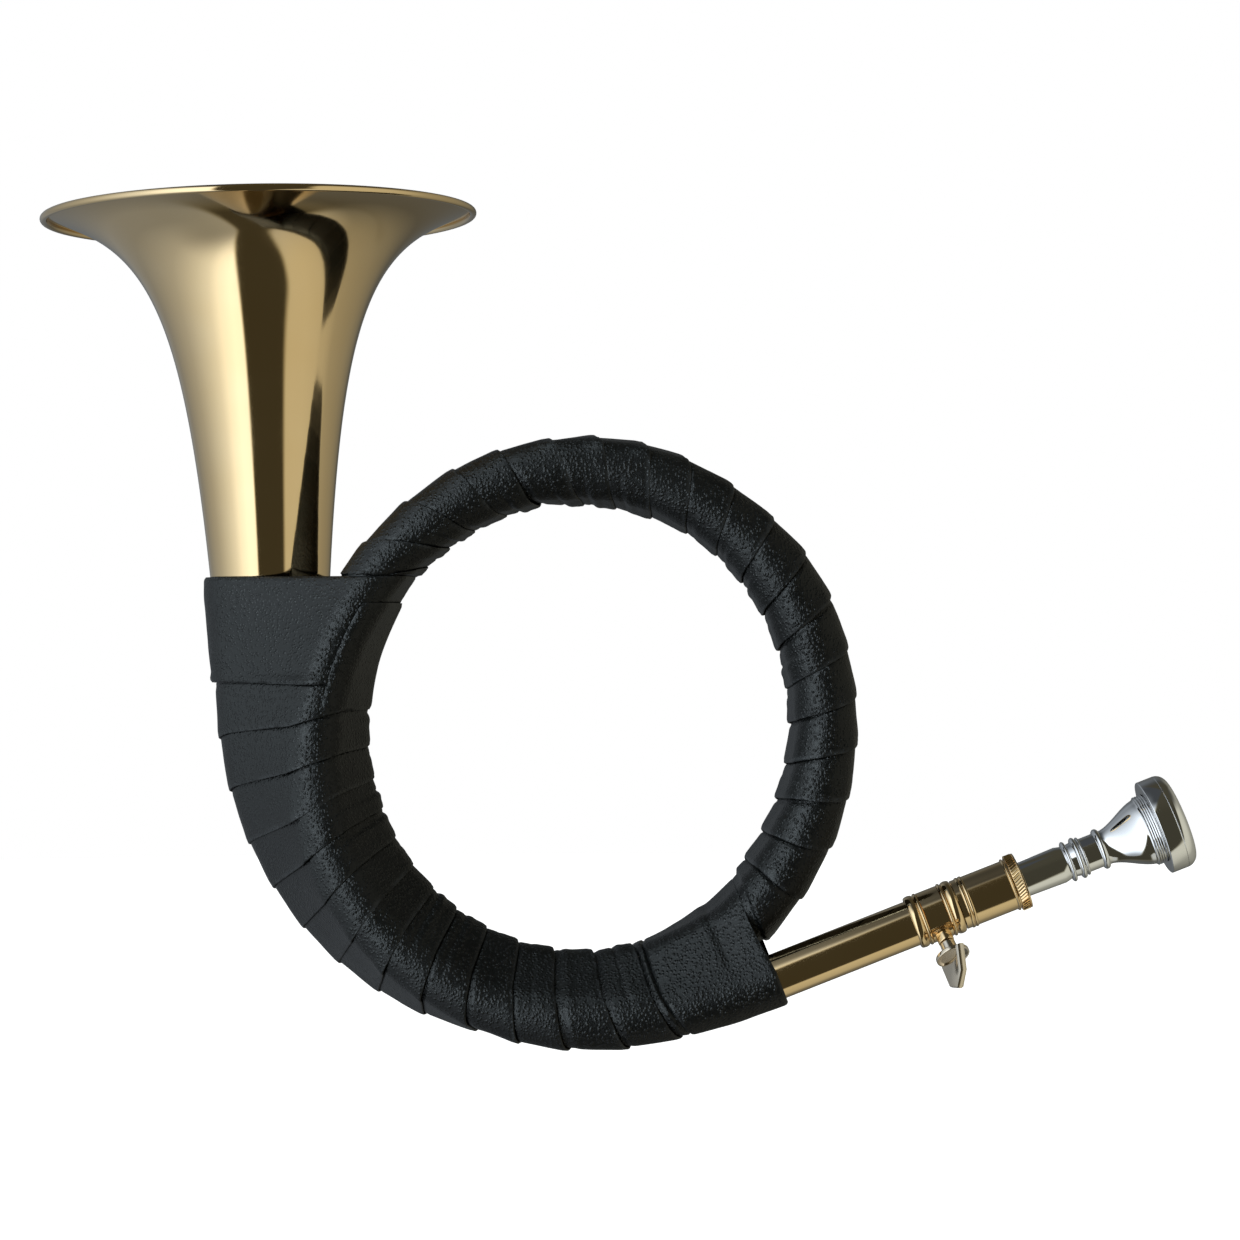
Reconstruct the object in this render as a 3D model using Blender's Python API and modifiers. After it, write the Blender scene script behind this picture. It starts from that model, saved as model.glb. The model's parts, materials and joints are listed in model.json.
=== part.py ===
"""Hunting horn: a brass natural horn of two and a half turns, its coil wound with leather.

Metres, +Z up, the bell upwards. The coil lies in the XZ plane and its turns stack along Y.
The origin is at the inner top of the coil, where the horn hangs on a hook or over a hand.
A wind angle is in degrees, clockwise round the coil as seen from -Y, starting at +X.
"""

import math

import bmesh
import bpy
import numpy as np
from mathutils import Matrix, Vector
from mathutils.bvhtree import BVHTree

# Fits
FIT_GAP = 0.0003
SLIDE_GAP = 0.0003
TURN_GAP = 0.0011

# Bell
BELL_DIAMETER = 0.1256
BELL_HEIGHT = 0.1477
BELL_LEAN = math.radians(1.7)
FLARE_SHIFT = 0.0083
FLARE_POWER = 0.493
BELL_WALL = 0.0005
BELL_JOINT_HEIGHT = 0.027
RIM_BEAD_DIAMETER = 0.0021
RIM_BEAD_WALL = 0.0004
RIM_WIRE_DIAMETER = 0.0008

# Coil
COIL_HALF_WIDTH = 0.06995
COIL_HALF_HEIGHT = 0.0731
HANGING_OFFSET = 0.0097
BELL_OFFSET = 0.01895
LEADPIPE_OFFSET = 0.0125
TUBE_WALL = 0.00055
LEAD_DEPTH = -0.013
LEAD_BEND = 15.0
TUCK_OFFSET = 0.0088
TUCK_SWEEP = 25.0
TUCK_END = 135.0
MERGE_END = 235.0
BRANCH_WIND = 750.0
BRANCH_DIAMETER = 0.0168
TURN_END_WIND = 625.0
TURN_END_DIAMETER = 0.0147
BELL_WIND = 900.0
BELL_SETTLE = 40.0
STATION_STEP = 10.0
STATIONS_PER_METRE = 1000.0
BORE_OVERRUN = 0.002

# Ferrules over the joints of the coil, as steps of the coil's stations past the mouthpipe's bend
FERRULE_WALL = 0.0005
FERRULE_LENGTH = 0.0104
FERRULE_HOLD = 8.0
FERRULE_FADE = 10.0
LEADPIPE_FERRULE_STEP = 3.5
TURN_FERRULE_STEP = 27.5
BRANCH_FERRULE_STEP = 58.5
BELL_FERRULE_LENGTH = 0.012

# Leadpipe and clamp
LEADPIPE_RISE = math.radians(21.52)
LEADPIPE_DIAMETER = 0.013
LEADPIPE_LENGTH = 0.0799
CLAMP_LENGTH = 0.0137
CLAMP_DIAMETER = 0.0148
CLAMP_WALL = 0.0006
CLAMP_LEAD = 0.0003
CLAMP_INNER_BEAD_DIAMETER = 0.01526
CLAMP_OUTER_BEAD_DIAMETER = 0.0155
WIDE_BEAD = 0.0026
FINE_BEAD = 0.0011
BEAD_SPACE = 0.0001

# Thumb screw
SCREW_TURN = math.radians(36.0)
SCREW_STATION = 0.0068
SCREW_DIAMETER = 0.002
SCREW_CHAMFER = 0.0003
BOSS_DIAMETER = 0.0046
BOSS_HEIGHT = 0.0022
BOSS_CHAMFER = 0.0004
BOSS_DEPTH_SHARE = 0.85
SCREW_COLLAR_DIAMETER = 0.0044
SCREW_COLLAR_HEIGHT = 0.0036
SCREW_DISC_DIAMETER = 0.0097
SCREW_DISC_THICKNESS = 0.0012
WING_SPAN = 0.0116
WING_HEIGHT = 0.0176
WING_THICKNESS = 0.0026
WING_EDGE_SHARE = 0.3
WING_TURN = math.radians(58.0)

# Tuning slide
SLIDE_DIAMETER = 0.0113
SLIDE_WALL = 0.0005
SLIDE_LENGTH = 0.0505
SLIDE_SOCKET = 0.006
RECEIVER_DIAMETER = 0.0143
RECEIVER_LENGTH = 0.0192
RECEIVER_RING_PLACE = 0.0014
RECEIVER_RING = 0.001
RECEIVER_RING_HEIGHT = 0.00025
RECEIVER_BEAD = 0.0008
RECEIVER_BEAD_HEIGHT = 0.00045
KNURL_DIAMETER = 0.01605
KNURL_LENGTH = 0.0028
KNURL_LIP = 0.0005
KNURL_DEPTH = 0.00025
KNURL_TEETH = 25
KNURL_SLANT = math.radians(9.0)

# Mouthpiece
SHANK_LENGTH = 0.0326
SHANK_TIP_DIAMETER = 0.0091
SHANK_DIAMETER = 0.0104
SHANK_INSERTION = 0.0212
SHANK_TIP_BORE = 0.0068
THROAT_DIAMETER = 0.0043
THROAT_BELOW_CUP = 0.004
THROAT_INTO_CUP = 0.0005
BARREL_DIAMETER = 0.00985
BARREL_LENGTH = 0.004
BARREL_RING_DIAMETER = 0.0118
BARREL_BEAD_DIAMETER = 0.012
STEM_RING = 0.0014
STEM_FINE_BEAD = 0.0009
STEM_FINE_BEAD_DROP = 0.0004
STEM_WIDE_BEAD = 0.0016
STEM_VALLEY = 0.0014
STEM_VALLEY_DEPTH = 0.0002
NECK_LENGTH = 0.001
STEM_LENGTH = 0.0138
CUP_DIAMETER = 0.0191
CUP_LENGTH = 0.0118
CUP_BORE = 0.0166
CUP_BORE_POWER = 0.7
CUP_STRAIGHT_SHARE = 0.35
CUP_EDGE = 0.0002
SPIGOT_DIAMETER = 0.0195
SPIGOT_SHOULDER = 0.0028
SPIGOT_LENGTH = 0.0028
RIM_DIAMETER = 0.0271
RIM_BACK_CHAMFER = 0.0003
RIM_LENGTH = 0.0079
RIM_CREST_DIAMETER = 0.0212
RIM_BAND = 0.0048
RIM_INSIDE_SHARE = 0.45

# Leather
LEATHER = 0.0005
WRAP_CLEARANCE = 0.0005
LAP_RISE = 0.0014
LAP_OVERLAP = 0.12
LAP_POINTS = 24
LAP_SLANT = 0.5
LAP_END_SHARE = 0.15
LOWER_LAPS = 13.4
UPPER_LAPS = 19.5
WRAP_GAP = 0.00045
PLANE_BLEND = 30.0
CUFF_THICKNESS = 0.0009
CUFF_POINTS = 24
CUFF_EDGE_STAND = 0.0017
CUFF_EDGE_LENGTH = 0.003
BELL_CUFF_TOP = 0.0423
BELL_CUFF_BOTTOM = 0.012
MOUTHPIPE_CUFF_LENGTH = 0.026
FLAP_BOTTOM = 0.0165
FLAP_TOP = 0.0365
FLAP_START = 0.12
FLAP_SWEEP = 0.3
FLAP_LEAN = 0.06
FLAP_CLEARANCE = 0.0002

# Fineness of the turned and sampled shapes
HIDDEN_RESOLUTION = 2
ROUND_RESOLUTION = 10
BELL_STEPS = 30
TURNED_STEPS = 20
FLARE_POINTS = 10
BEAD_POINTS = 3
FINE_POINTS = 2
CUP_POINTS = 7
CUP_BORE_POINTS = 5
RIM_POINTS = 5
RIM_INSIDE_POINTS = 3
CUFF_ROWS = 5
MOUTHPIPE_CUFF_ROWS = 6
FLAP_ROWS = 4
FLAP_POINTS = 10
WING_POINTS = 20
HOLE_POINTS = 12
HULL_DIRECTIONS = 144
ROUTE_STEP = 0.001
NEAR_COIL = 0.045

COIL_CENTRE = np.array([0.0, 0.0, HANGING_OFFSET - COIL_HALF_HEIGHT])
BELL_AXIS_DISTANCE = COIL_HALF_WIDTH + BELL_OFFSET
LEADPIPE_DISTANCE = COIL_HALF_HEIGHT + LEADPIPE_OFFSET
FOOT_ANGLE = 90.0 - math.degrees(LEADPIPE_RISE)
LEAD_RADIUS = LEADPIPE_DIAMETER / 2
BELL_RADIUS = BELL_DIAMETER / 2
FERRULE_STAND = FIT_GAP + FERRULE_WALL

BRASS = ("lacquered_brass", (0.72, 0.55, 0.27, 1), 0.18, 1.0)
BRASS_DARK = ("worn_brass", (0.55, 0.40, 0.18, 1), 0.28, 1.0)
STEEL = ("rim_steel", (0.55, 0.55, 0.55, 1), 0.35, 1.0)
SILVER = ("silver_plate", (0.86, 0.86, 0.85, 1), 0.12, 1.0)
NICKEL = ("screw_nickel", (0.72, 0.70, 0.66, 1), 0.2, 1.0)
HIDE = ("black_leather", (0.02, 0.021, 0.022, 1), 0.55, 0.0)


def smooth(share):
    share = np.clip(share, 0.0, 1.0)
    return share * share * (3 - 2 * share)


def wind_of_normal(angle):
    """The ellipse's wind angle where its outward normal points at this angle below +X."""
    turn = math.radians(angle)
    return math.degrees(math.atan2(math.sin(turn) * COIL_HALF_HEIGHT, math.cos(turn) * COIL_HALF_WIDTH))


FOOT_WIND = wind_of_normal(FOOT_ANGLE)
BEND_WIND = FOOT_WIND - LEAD_BEND


def middle(wind):
    """The point of the coil's middle ellipse, and its outward normal, both in the plane Y = 0."""
    turn = np.radians(wind)
    zero = np.zeros_like(turn)
    point = np.stack([COIL_HALF_WIDTH * np.cos(turn), zero, -COIL_HALF_HEIGHT * np.sin(turn)], -1)
    normal = np.stack([np.cos(turn) / COIL_HALF_WIDTH, zero, -np.sin(turn) / COIL_HALF_HEIGHT], -1)
    return point + COIL_CENTRE, normal / np.linalg.norm(normal, axis=-1, keepdims=True)


LEAD_NORMAL = np.array([math.sin(LEADPIPE_RISE), 0.0, -math.cos(LEADPIPE_RISE)])
LEAD_DIRECTION = np.array([math.cos(LEADPIPE_RISE), 0.0, math.sin(LEADPIPE_RISE)])
LEAD_FOOT = COIL_CENTRE + LEADPIPE_DISTANCE * LEAD_NORMAL + np.array([0.0, LEAD_DEPTH, 0.0])


def line_offset(wind):
    """How far outside the middle ellipse the straight mouthpipe's axis lies."""
    point, normal = middle(wind)
    return (LEADPIPE_DISTANCE - (point - COIL_CENTRE) @ LEAD_NORMAL) / (normal @ LEAD_NORMAL)


BEND_OFFSET = float(line_offset(np.array(BEND_WIND)))
BEND_SLOPE = float(line_offset(np.array(BEND_WIND + 0.5)) - line_offset(np.array(BEND_WIND - 0.5)))


def offset(wind):
    """How far the tube's centre lies outside the middle ellipse."""
    sweep = FOOT_WIND + TUCK_SWEEP - BEND_WIND
    share = np.clip((wind - BEND_WIND) / sweep, 0.0, 1.0)
    tucked = BEND_OFFSET + (TUCK_OFFSET - BEND_OFFSET) * smooth(share)
    tucked = tucked + BEND_SLOPE * sweep * share * (1 - share) ** 2
    tucked = tucked * (1 - smooth((wind - TUCK_END) / (MERGE_END - TUCK_END)))
    sweep = BELL_WIND - BRANCH_WIND
    share = np.clip((wind - BRANCH_WIND) / sweep, 0.0, 1.0)
    speed = COIL_HALF_HEIGHT + BELL_OFFSET * COIL_HALF_WIDTH / COIL_HALF_HEIGHT
    lean = math.tan(BELL_LEAN) * speed * math.radians(sweep)
    return tucked + BELL_OFFSET * smooth(share) + lean * (share**3 - share**2)


def flat_point(wind):
    point, normal = middle(wind)
    return point + normal * offset(wind)[..., None]


def flare(depth):
    """The bell's outer radius this far below its mouth, along the tube."""
    return BELL_RADIUS * ((depth + FLARE_SHIFT) / FLARE_SHIFT) ** -FLARE_POWER


COIL_WINDS = np.arange(BEND_WIND, BELL_WIND + 0.5, 1.0)
COIL_WINDS = np.append(COIL_WINDS[COIL_WINDS < BELL_WIND - 0.5], BELL_WIND)
FLAT_COIL = flat_point(COIL_WINDS)
COIL_STEPS = np.linalg.norm(np.diff(FLAT_COIL, axis=0), axis=1)
LENGTH_TO_BELL = np.append(np.cumsum(COIL_STEPS[::-1])[::-1], 0.0)


def coil_radius(wind):
    """The tube grows slowly round its turns, faster to the bell's branch, and then flares."""
    sizes = [LEADPIPE_DIAMETER, TURN_END_DIAMETER, BRANCH_DIAMETER]
    grown = np.interp(wind, [FOOT_WIND, TURN_END_WIND, BRANCH_WIND], sizes) / 2
    ahead = np.interp(wind, COIL_WINDS, LENGTH_TO_BELL)
    whole = np.interp(BRANCH_WIND, COIL_WINDS, LENGTH_TO_BELL)
    end = (flare(BELL_HEIGHT) / (BRANCH_DIAMETER / 2)) ** (1 / FLARE_POWER)
    branch = flare(BELL_HEIGHT) * (1 + (end - 1) * ahead / whole) ** -FLARE_POWER
    return np.where(wind < BRANCH_WIND, grown, branch)


def lift(wind):
    """How far the next turn lies behind this one, so that the two keep the gap between turns."""
    reach = coil_radius(wind) + coil_radius(wind + 360) + TURN_GAP
    aside = offset(wind) - offset(wind + 360)
    return np.sqrt(np.maximum(reach**2 - aside**2, 0.0))


def first_depth(wind):
    start = BELL_WIND - 720
    share = smooth((wind - start) / (FOOT_WIND + 360 - start))
    return LEAD_DEPTH + lift(np.array(FOOT_WIND)) * share


def second_depth(wind):
    return first_depth(wind - 360) + lift(wind - 360)


BELL_DIRECTION = np.array([-math.sin(BELL_LEAN), 0.0, math.cos(BELL_LEAN)])
BELL_FOOT = flat_point(np.array(BELL_WIND))


def bell_depth():
    """The depth at which the bell's branch clears the second turn beside it."""
    heights = np.arange(-0.04, BELL_CUFF_TOP, ROUTE_STEP)
    below = heights < 0
    winds = BELL_WIND + np.degrees(heights / BELL_AXIS_DISTANCE)
    straight = BELL_FOOT + np.maximum(heights, 0)[:, None] * BELL_DIRECTION
    branch = np.where(below[:, None], flat_point(winds), straight)
    branch_radius = np.where(below, coil_radius(winds), flare(BELL_HEIGHT - np.maximum(heights, 0)))
    turn_winds = np.arange(BELL_WIND - 360 - 40, BELL_WIND - 360 + 60, 1.0)
    turn = flat_point(turn_winds)
    apart = np.linalg.norm(branch[:, None, :] - turn[None, :, :], axis=-1)
    reach = branch_radius[:, None] + coil_radius(turn_winds)[None, :] + TURN_GAP
    needed = second_depth(turn_winds)[None, :] + np.sqrt(np.maximum(reach**2 - apart**2, 0.0))
    return float(np.where(apart < reach, needed, -1.0).max())


BELL_DEPTH = bell_depth()


def third_depth(wind):
    clear = second_depth(wind - 360) + lift(wind - 360)
    share = smooth((wind - FOOT_WIND - 720) / (BELL_WIND - BELL_SETTLE - FOOT_WIND - 720))
    return clear + (BELL_DEPTH - clear) * share


BEND_PLACE = float((flat_point(np.array(BEND_WIND)) - LEAD_FOOT) @ LEAD_DIRECTION)


def lead_station(reach):
    """The station of a place on the straight mouthpipe, this far from the coil's foot."""
    return BEND_WIND - (reach - BEND_PLACE) * STATIONS_PER_METRE


def build_route():
    """The tube's whole centre line, mouthpipe end first: station numbers, points and outer radii.

    A station is the wind angle on the coil. It runs on by one for each millimetre of the straight
    mouthpipe before the foot, and of the straight bell after the coil.
    """
    reach = np.arange(LEADPIPE_LENGTH, BEND_PLACE, -ROUTE_STEP)
    lead = LEAD_FOOT + reach[:, None] * LEAD_DIRECTION
    coil = FLAT_COIL.copy()
    first, second = COIL_WINDS < FOOT_WIND + 360, COIL_WINDS < FOOT_WIND + 720
    coil[:, 1] = np.where(
        first,
        first_depth(COIL_WINDS),
        np.where(second, second_depth(COIL_WINDS), third_depth(COIL_WINDS)),
    )
    rise = np.arange(ROUTE_STEP, BELL_HEIGHT, ROUTE_STEP)
    bell = BELL_FOOT + rise[:, None] * BELL_DIRECTION
    bell[:, 1] = BELL_DEPTH
    stations = np.concatenate([lead_station(reach), COIL_WINDS, BELL_WIND + rise * STATIONS_PER_METRE])
    widths = [np.full(len(reach), LEAD_RADIUS), coil_radius(COIL_WINDS), flare(BELL_HEIGHT - rise)]
    return stations, np.concatenate([lead, coil, bell]), np.concatenate(widths)


STATIONS, ROUTE, RADII = build_route()
MOUTH_CENTRE = BELL_FOOT + BELL_HEIGHT * BELL_DIRECTION + np.array([0.0, BELL_DEPTH, 0.0])
BELL_JOINT = BELL_WIND + BELL_JOINT_HEIGHT * STATIONS_PER_METRE
LEADPIPE_JOINT = BEND_WIND + LEADPIPE_FERRULE_STEP * STATION_STEP
TURN_JOINT = BEND_WIND + TURN_FERRULE_STEP * STATION_STEP
BRANCH_JOINT = BEND_WIND + BRANCH_FERRULE_STEP * STATION_STEP
BUTT = math.degrees(FIT_GAP / 2 / COIL_HALF_WIDTH)
BELL_BUTT = FIT_GAP / 2 * STATIONS_PER_METRE


def route_point(station):
    return np.array([np.interp(station, STATIONS, ROUTE[:, axis]) for axis in range(3)])


def route_radius(station):
    return float(np.interp(station, STATIONS, RADII))


def covered_radius():
    """The outer radii with the ferrules on, which the leather goes round."""
    stand = np.zeros_like(STATIONS)
    for joint in (LEADPIPE_JOINT, TURN_JOINT, BRANCH_JOINT, BELL_JOINT):
        near = 1 - smooth((np.abs(STATIONS - joint) - FERRULE_HOLD) / FERRULE_FADE)
        stand = np.maximum(stand, FERRULE_STAND * near)
    return RADII + stand


COVERED = covered_radius()


def least_turn_gap():
    """The least gap between turns, measured on the route's points."""
    turns = STATIONS - FOOT_WIND
    keep = (turns > 0) & (STATIONS < BELL_WIND + BELL_CUFF_TOP * STATIONS_PER_METRE)
    apart = np.linalg.norm(ROUTE[keep][:, None] - ROUTE[keep][None], axis=-1)
    gaps = apart - RADII[keep][:, None] - RADII[keep][None]
    far = np.abs(turns[keep][:, None] - turns[keep][None]) > 90
    return float(gaps[far].min())


def material(look):
    name, colour, roughness, metallic = look
    found = bpy.data.materials.get(name)
    if found:
        return found
    made = bpy.data.materials.new(name)
    made.use_nodes = True
    shader = made.node_tree.nodes["Principled BSDF"]
    shader.inputs["Base Color"].default_value = colour
    shader.inputs["Roughness"].default_value = roughness
    shader.inputs["Metallic"].default_value = metallic
    return made


def add_object(name, data, look, collection):
    piece = bpy.data.objects.new(name, data)
    collection.objects.link(piece)
    data.materials.append(material(look))
    return piece


def as_helper(piece):
    piece.hide_render = True
    piece.display_type = "WIRE"
    return piece


def shade(mesh):
    mesh.shade_smooth()
    mesh.set_sharp_from_angle(angle=math.radians(35))


def curve_mesh(name, points, radii, resolution):
    """A mesh tube along the points, each with its radius, closed by caps."""
    data = bpy.data.curves.new(name, "CURVE")
    data.dimensions = "3D"
    data.bevel_depth = 1.0
    data.bevel_resolution = resolution
    data.use_fill_caps = True
    data.twist_mode = "MINIMUM"
    spline = data.splines.new("POLY")
    spline.points.add(len(points) - 1)
    for spot, place, radius in zip(spline.points, points, radii):
        spot.co = (*place, 1.0)
        spot.radius = radius
    guide = bpy.data.objects.new(name + "_guide", data)
    bpy.context.scene.collection.objects.link(guide)
    graph = bpy.context.evaluated_depsgraph_get()
    mesh = bpy.data.meshes.new_from_object(guide.evaluated_get(graph))
    bpy.data.objects.remove(guide)
    bpy.data.curves.remove(data)
    work = bmesh.new()
    work.from_mesh(mesh)
    bmesh.ops.remove_doubles(work, verts=work.verts, dist=0.000001)
    bmesh.ops.recalc_face_normals(work, faces=work.faces)
    work.to_mesh(mesh)
    work.free()
    mesh.name = name
    mesh.materials.clear()
    return mesh


def cut(piece, cutter, name):
    modifier = piece.modifiers.new(name, "BOOLEAN")
    modifier.operation = "DIFFERENCE"
    modifier.object = cutter
    return modifier


def lengthened(points, reach):
    """The same points with both ends carried straight on by this much."""
    points = np.array(points)
    start = points[0] - points[1]
    end = points[-1] - points[-2]
    start_point = points[0] + start / np.linalg.norm(start) * reach
    end_point = points[-1] + end / np.linalg.norm(end) * reach
    return np.vstack([start_point, points, end_point])


def hollow_tube(name, points, radii, wall, look, parts, cutters, resolution=HIDDEN_RESOLUTION):
    piece = add_object(name, curve_mesh(name, points, radii, resolution), look, parts)
    bore_points = lengthened(points, BORE_OVERRUN)
    bore_radii = np.concatenate([radii[:1], radii, radii[-1:]]) - wall
    mesh = curve_mesh(name + "_bore", bore_points, bore_radii, resolution)
    bore = bpy.data.objects.new(name + "_bore", mesh)
    cutters.objects.link(as_helper(bore))
    cut(piece, bore, "bore")
    return piece


def tube_points(start, end):
    """Points and radii of a tube between two stations, on the chords of the coil's even stations."""
    coil = np.arange(BEND_WIND, BELL_WIND - STATION_STEP / 3, STATION_STEP)
    even = np.concatenate([[float(lead_station(LEADPIPE_LENGTH))], coil, [BELL_WIND, BELL_JOINT]])
    stations = np.concatenate([[start], even[(even > start) & (even < end)], [end]])
    places = np.array([route_point(station) for station in even])
    radii = np.array([route_radius(station) for station in even])
    points = np.stack([np.interp(stations, even, places[:, axis]) for axis in range(3)], -1)
    return points, np.interp(stations, even, radii)


def coil_tube(name, start, end, look, parts, cutters, resolution=HIDDEN_RESOLUTION):
    points, radii = tube_points(start, end)
    return hollow_tube(name, points, radii, TUBE_WALL, look, parts, cutters, resolution)


def make_leadpipe(parts, cutters):
    """The straight mouthpipe, and its bend up to the first ferrule."""
    start, end = float(lead_station(LEADPIPE_LENGTH)), LEADPIPE_JOINT - BUTT
    pipe = coil_tube("leadpipe", start, end, BRASS, parts, cutters, ROUND_RESOLUTION)
    cut(pipe, screw_hole(cutters), "screw_hole")
    return pipe


def coil_ferrule(name, joint, parts, cutters):
    """A short sleeve over two tube ends, on the chord that they share."""
    reach = math.degrees(FERRULE_LENGTH / 2 / COIL_HALF_WIDTH)
    points, radii = tube_points(joint - reach, joint + reach)
    radii = radii + FERRULE_STAND
    return hollow_tube(name, points, radii, FERRULE_WALL, BRASS_DARK, parts, cutters, ROUND_RESOLUTION)


def turned(name, profile, steps, look, parts, matrix):
    """A Screw of a closed profile of (radius, height) pairs, its outer side top to bottom first."""
    mesh = bpy.data.meshes.new(name)
    count = len(profile)
    edges = [(index, (index + 1) % count) for index in range(count)]
    mesh.from_pydata([(radius, 0.0, height) for radius, height in profile], edges, [])
    piece = add_object(name, mesh, look, parts)
    piece.matrix_world = matrix
    screw = piece.modifiers.new("turn", "SCREW")
    screw.axis = "Z"
    screw.steps = steps
    screw.render_steps = steps
    screw.use_merge_vertices = True
    screw.merge_threshold = 0.000002
    screw.use_smooth_shade = True
    return piece


def bead(high, low, base, crest, points=BEAD_POINTS):
    """A half-round bead on a turned outside, from its high end to its low one."""
    turns = np.linspace(0, math.pi, points + 1)
    centre, half = (high + low) / 2, (high - low) / 2
    return [(base + (crest - base) * math.sin(turn), centre + half * math.cos(turn)) for turn in turns]


def pipe_matrix(station):
    """A turned piece's place on the mouthpipe axis, its own +Z pointing to the mouthpiece."""
    place = Vector(LEAD_FOOT + station * LEAD_DIRECTION)
    return Matrix.Translation(place) @ Matrix.Rotation(math.pi / 2 - LEADPIPE_RISE, 4, "Y")


def bell_matrix(height):
    place = Vector(MOUTH_CENTRE + height * BELL_DIRECTION)
    return Matrix.Translation(place) @ Matrix.Rotation(-BELL_LEAN, 4, "Y")


def flare_points():
    """Outer and inner points of the bell's wall, from the rim to the joint, in (radius, height)."""
    length = BELL_HEIGHT - BELL_JOINT_HEIGHT - FIT_GAP / 2
    start = RIM_BEAD_DIAMETER
    ratio = (length + FLARE_SHIFT) / (start + FLARE_SHIFT)
    depths = (start + FLARE_SHIFT) * ratio ** np.linspace(0, 1, FLARE_POINTS) - FLARE_SHIFT
    slopes = -FLARE_POWER * flare(depths) / (depths + FLARE_SHIFT)
    normals = np.stack([np.ones_like(slopes), slopes], -1)
    normals /= np.linalg.norm(normals, axis=1, keepdims=True)
    outer = np.stack([flare(depths), -depths], -1)
    inner = outer - BELL_WALL * normals
    inner[-1, 1] = outer[-1, 1]
    return [tuple(point) for point in outer], [tuple(point) for point in inner]


def make_bell(parts):
    """The spun flare. Its rim is rolled outwards over the wire and stops short of the wall."""
    outer, inner = flare_points()
    roll = RIM_BEAD_DIAMETER / 2
    hollow = roll - RIM_BEAD_WALL
    centre = (BELL_RADIUS - roll, -roll)

    def arc(radius, degrees):
        turns = [math.radians(turn) for turn in degrees]
        ways = [(math.cos(turn), math.sin(turn)) for turn in turns]
        return [(centre[0] + radius * across, centre[1] + radius * up) for across, up in ways]

    outside = arc(roll, (110, 70, 30, -10, -50, -90, -125, -160))
    inside = arc(hollow, (-160, -105, -40, 25, 110))
    profile = outside + inside + outer + inner[::-1]
    return turned("bell", profile, BELL_STEPS, BRASS, parts, bell_matrix(0))


def make_rim_wire(parts):
    roll = RIM_BEAD_DIAMETER / 2
    radius = RIM_WIRE_DIAMETER / 2
    turns = [math.radians(turn) for turn in (90, 30, -30, -90, -150, 150)]
    profile = [
        (BELL_RADIUS - roll + radius * math.cos(turn), -roll + radius * math.sin(turn)) for turn in turns
    ]
    return turned("rim_wire", profile, BELL_STEPS, STEEL, parts, bell_matrix(0))


def make_bell_ferrule(parts):
    joint = BELL_HEIGHT - BELL_JOINT_HEIGHT
    half = BELL_FERRULE_LENGTH / 2
    top, bottom = flare(joint - half) + FIT_GAP, flare(joint + half) + FIT_GAP
    profile = [
        (top + FERRULE_WALL, half),
        (bottom + FERRULE_WALL, -half),
        (bottom, -half),
        (top, half),
    ]
    return turned("bell_ferrule", profile, BELL_STEPS, BRASS_DARK, parts, bell_matrix(-joint))


CLAMP_START = LEADPIPE_LENGTH - CLAMP_LENGTH + CLAMP_LEAD
RECEIVER_START = CLAMP_START + CLAMP_LENGTH + FIT_GAP
SLIDE_START = RECEIVER_START + SLIDE_SOCKET - SLIDE_LENGTH
RECEIVER_END = RECEIVER_START + RECEIVER_LENGTH
SHANK_START = RECEIVER_END - SHANK_INSERTION
STEM_START = SHANK_START + SHANK_LENGTH
CUP_START = STEM_START + STEM_LENGTH
SPIGOT_START = CUP_START + CUP_LENGTH
RIM_START = SPIGOT_START + SPIGOT_SHOULDER


def make_clamp(parts, cutters):
    """The beaded sleeve on the leadpipe's end, bored for the screw."""
    radius = CLAMP_DIAMETER / 2
    bore = LEAD_RADIUS + FIT_GAP
    base = bore + CLAMP_WALL / 2
    inner_crest, outer_crest = CLAMP_INNER_BEAD_DIAMETER / 2, CLAMP_OUTER_BEAD_DIAMETER / 2
    wide_end = CLAMP_LENGTH - WIDE_BEAD
    fine_end = wide_end - BEAD_SPACE - FINE_BEAD
    profile = bead(CLAMP_LENGTH, wide_end, base, outer_crest)
    profile += bead(wide_end - BEAD_SPACE, fine_end, base, outer_crest)
    profile += [(radius, fine_end - BEAD_SPACE), (radius, WIDE_BEAD + FINE_BEAD + 2 * BEAD_SPACE)]
    profile += bead(WIDE_BEAD + BEAD_SPACE + FINE_BEAD, WIDE_BEAD + BEAD_SPACE, base, inner_crest)
    profile += bead(WIDE_BEAD, 0.0, base, inner_crest)
    profile += [(bore, 0.0), (bore, CLAMP_LENGTH)]
    clamp = turned("clamp_sleeve", profile, TURNED_STEPS, BRASS, parts, pipe_matrix(CLAMP_START))
    cut(clamp, screw_hole(cutters), "screw_hole")
    return clamp


def screw_matrix(distance):
    """A place on the screw's axis, this far from the mouthpipe's axis, +Z pointing out along it."""
    down = Matrix.Rotation(math.pi - LEADPIPE_RISE, 4, "Y")
    towards_front = Matrix.Rotation(-SCREW_TURN, 4, Vector(LEAD_DIRECTION))
    turn = towards_front @ down
    place = Vector(LEAD_FOOT + (CLAMP_START + SCREW_STATION) * LEAD_DIRECTION)
    return Matrix.Translation(place) @ turn @ Matrix.Translation((0, 0, distance))


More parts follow.
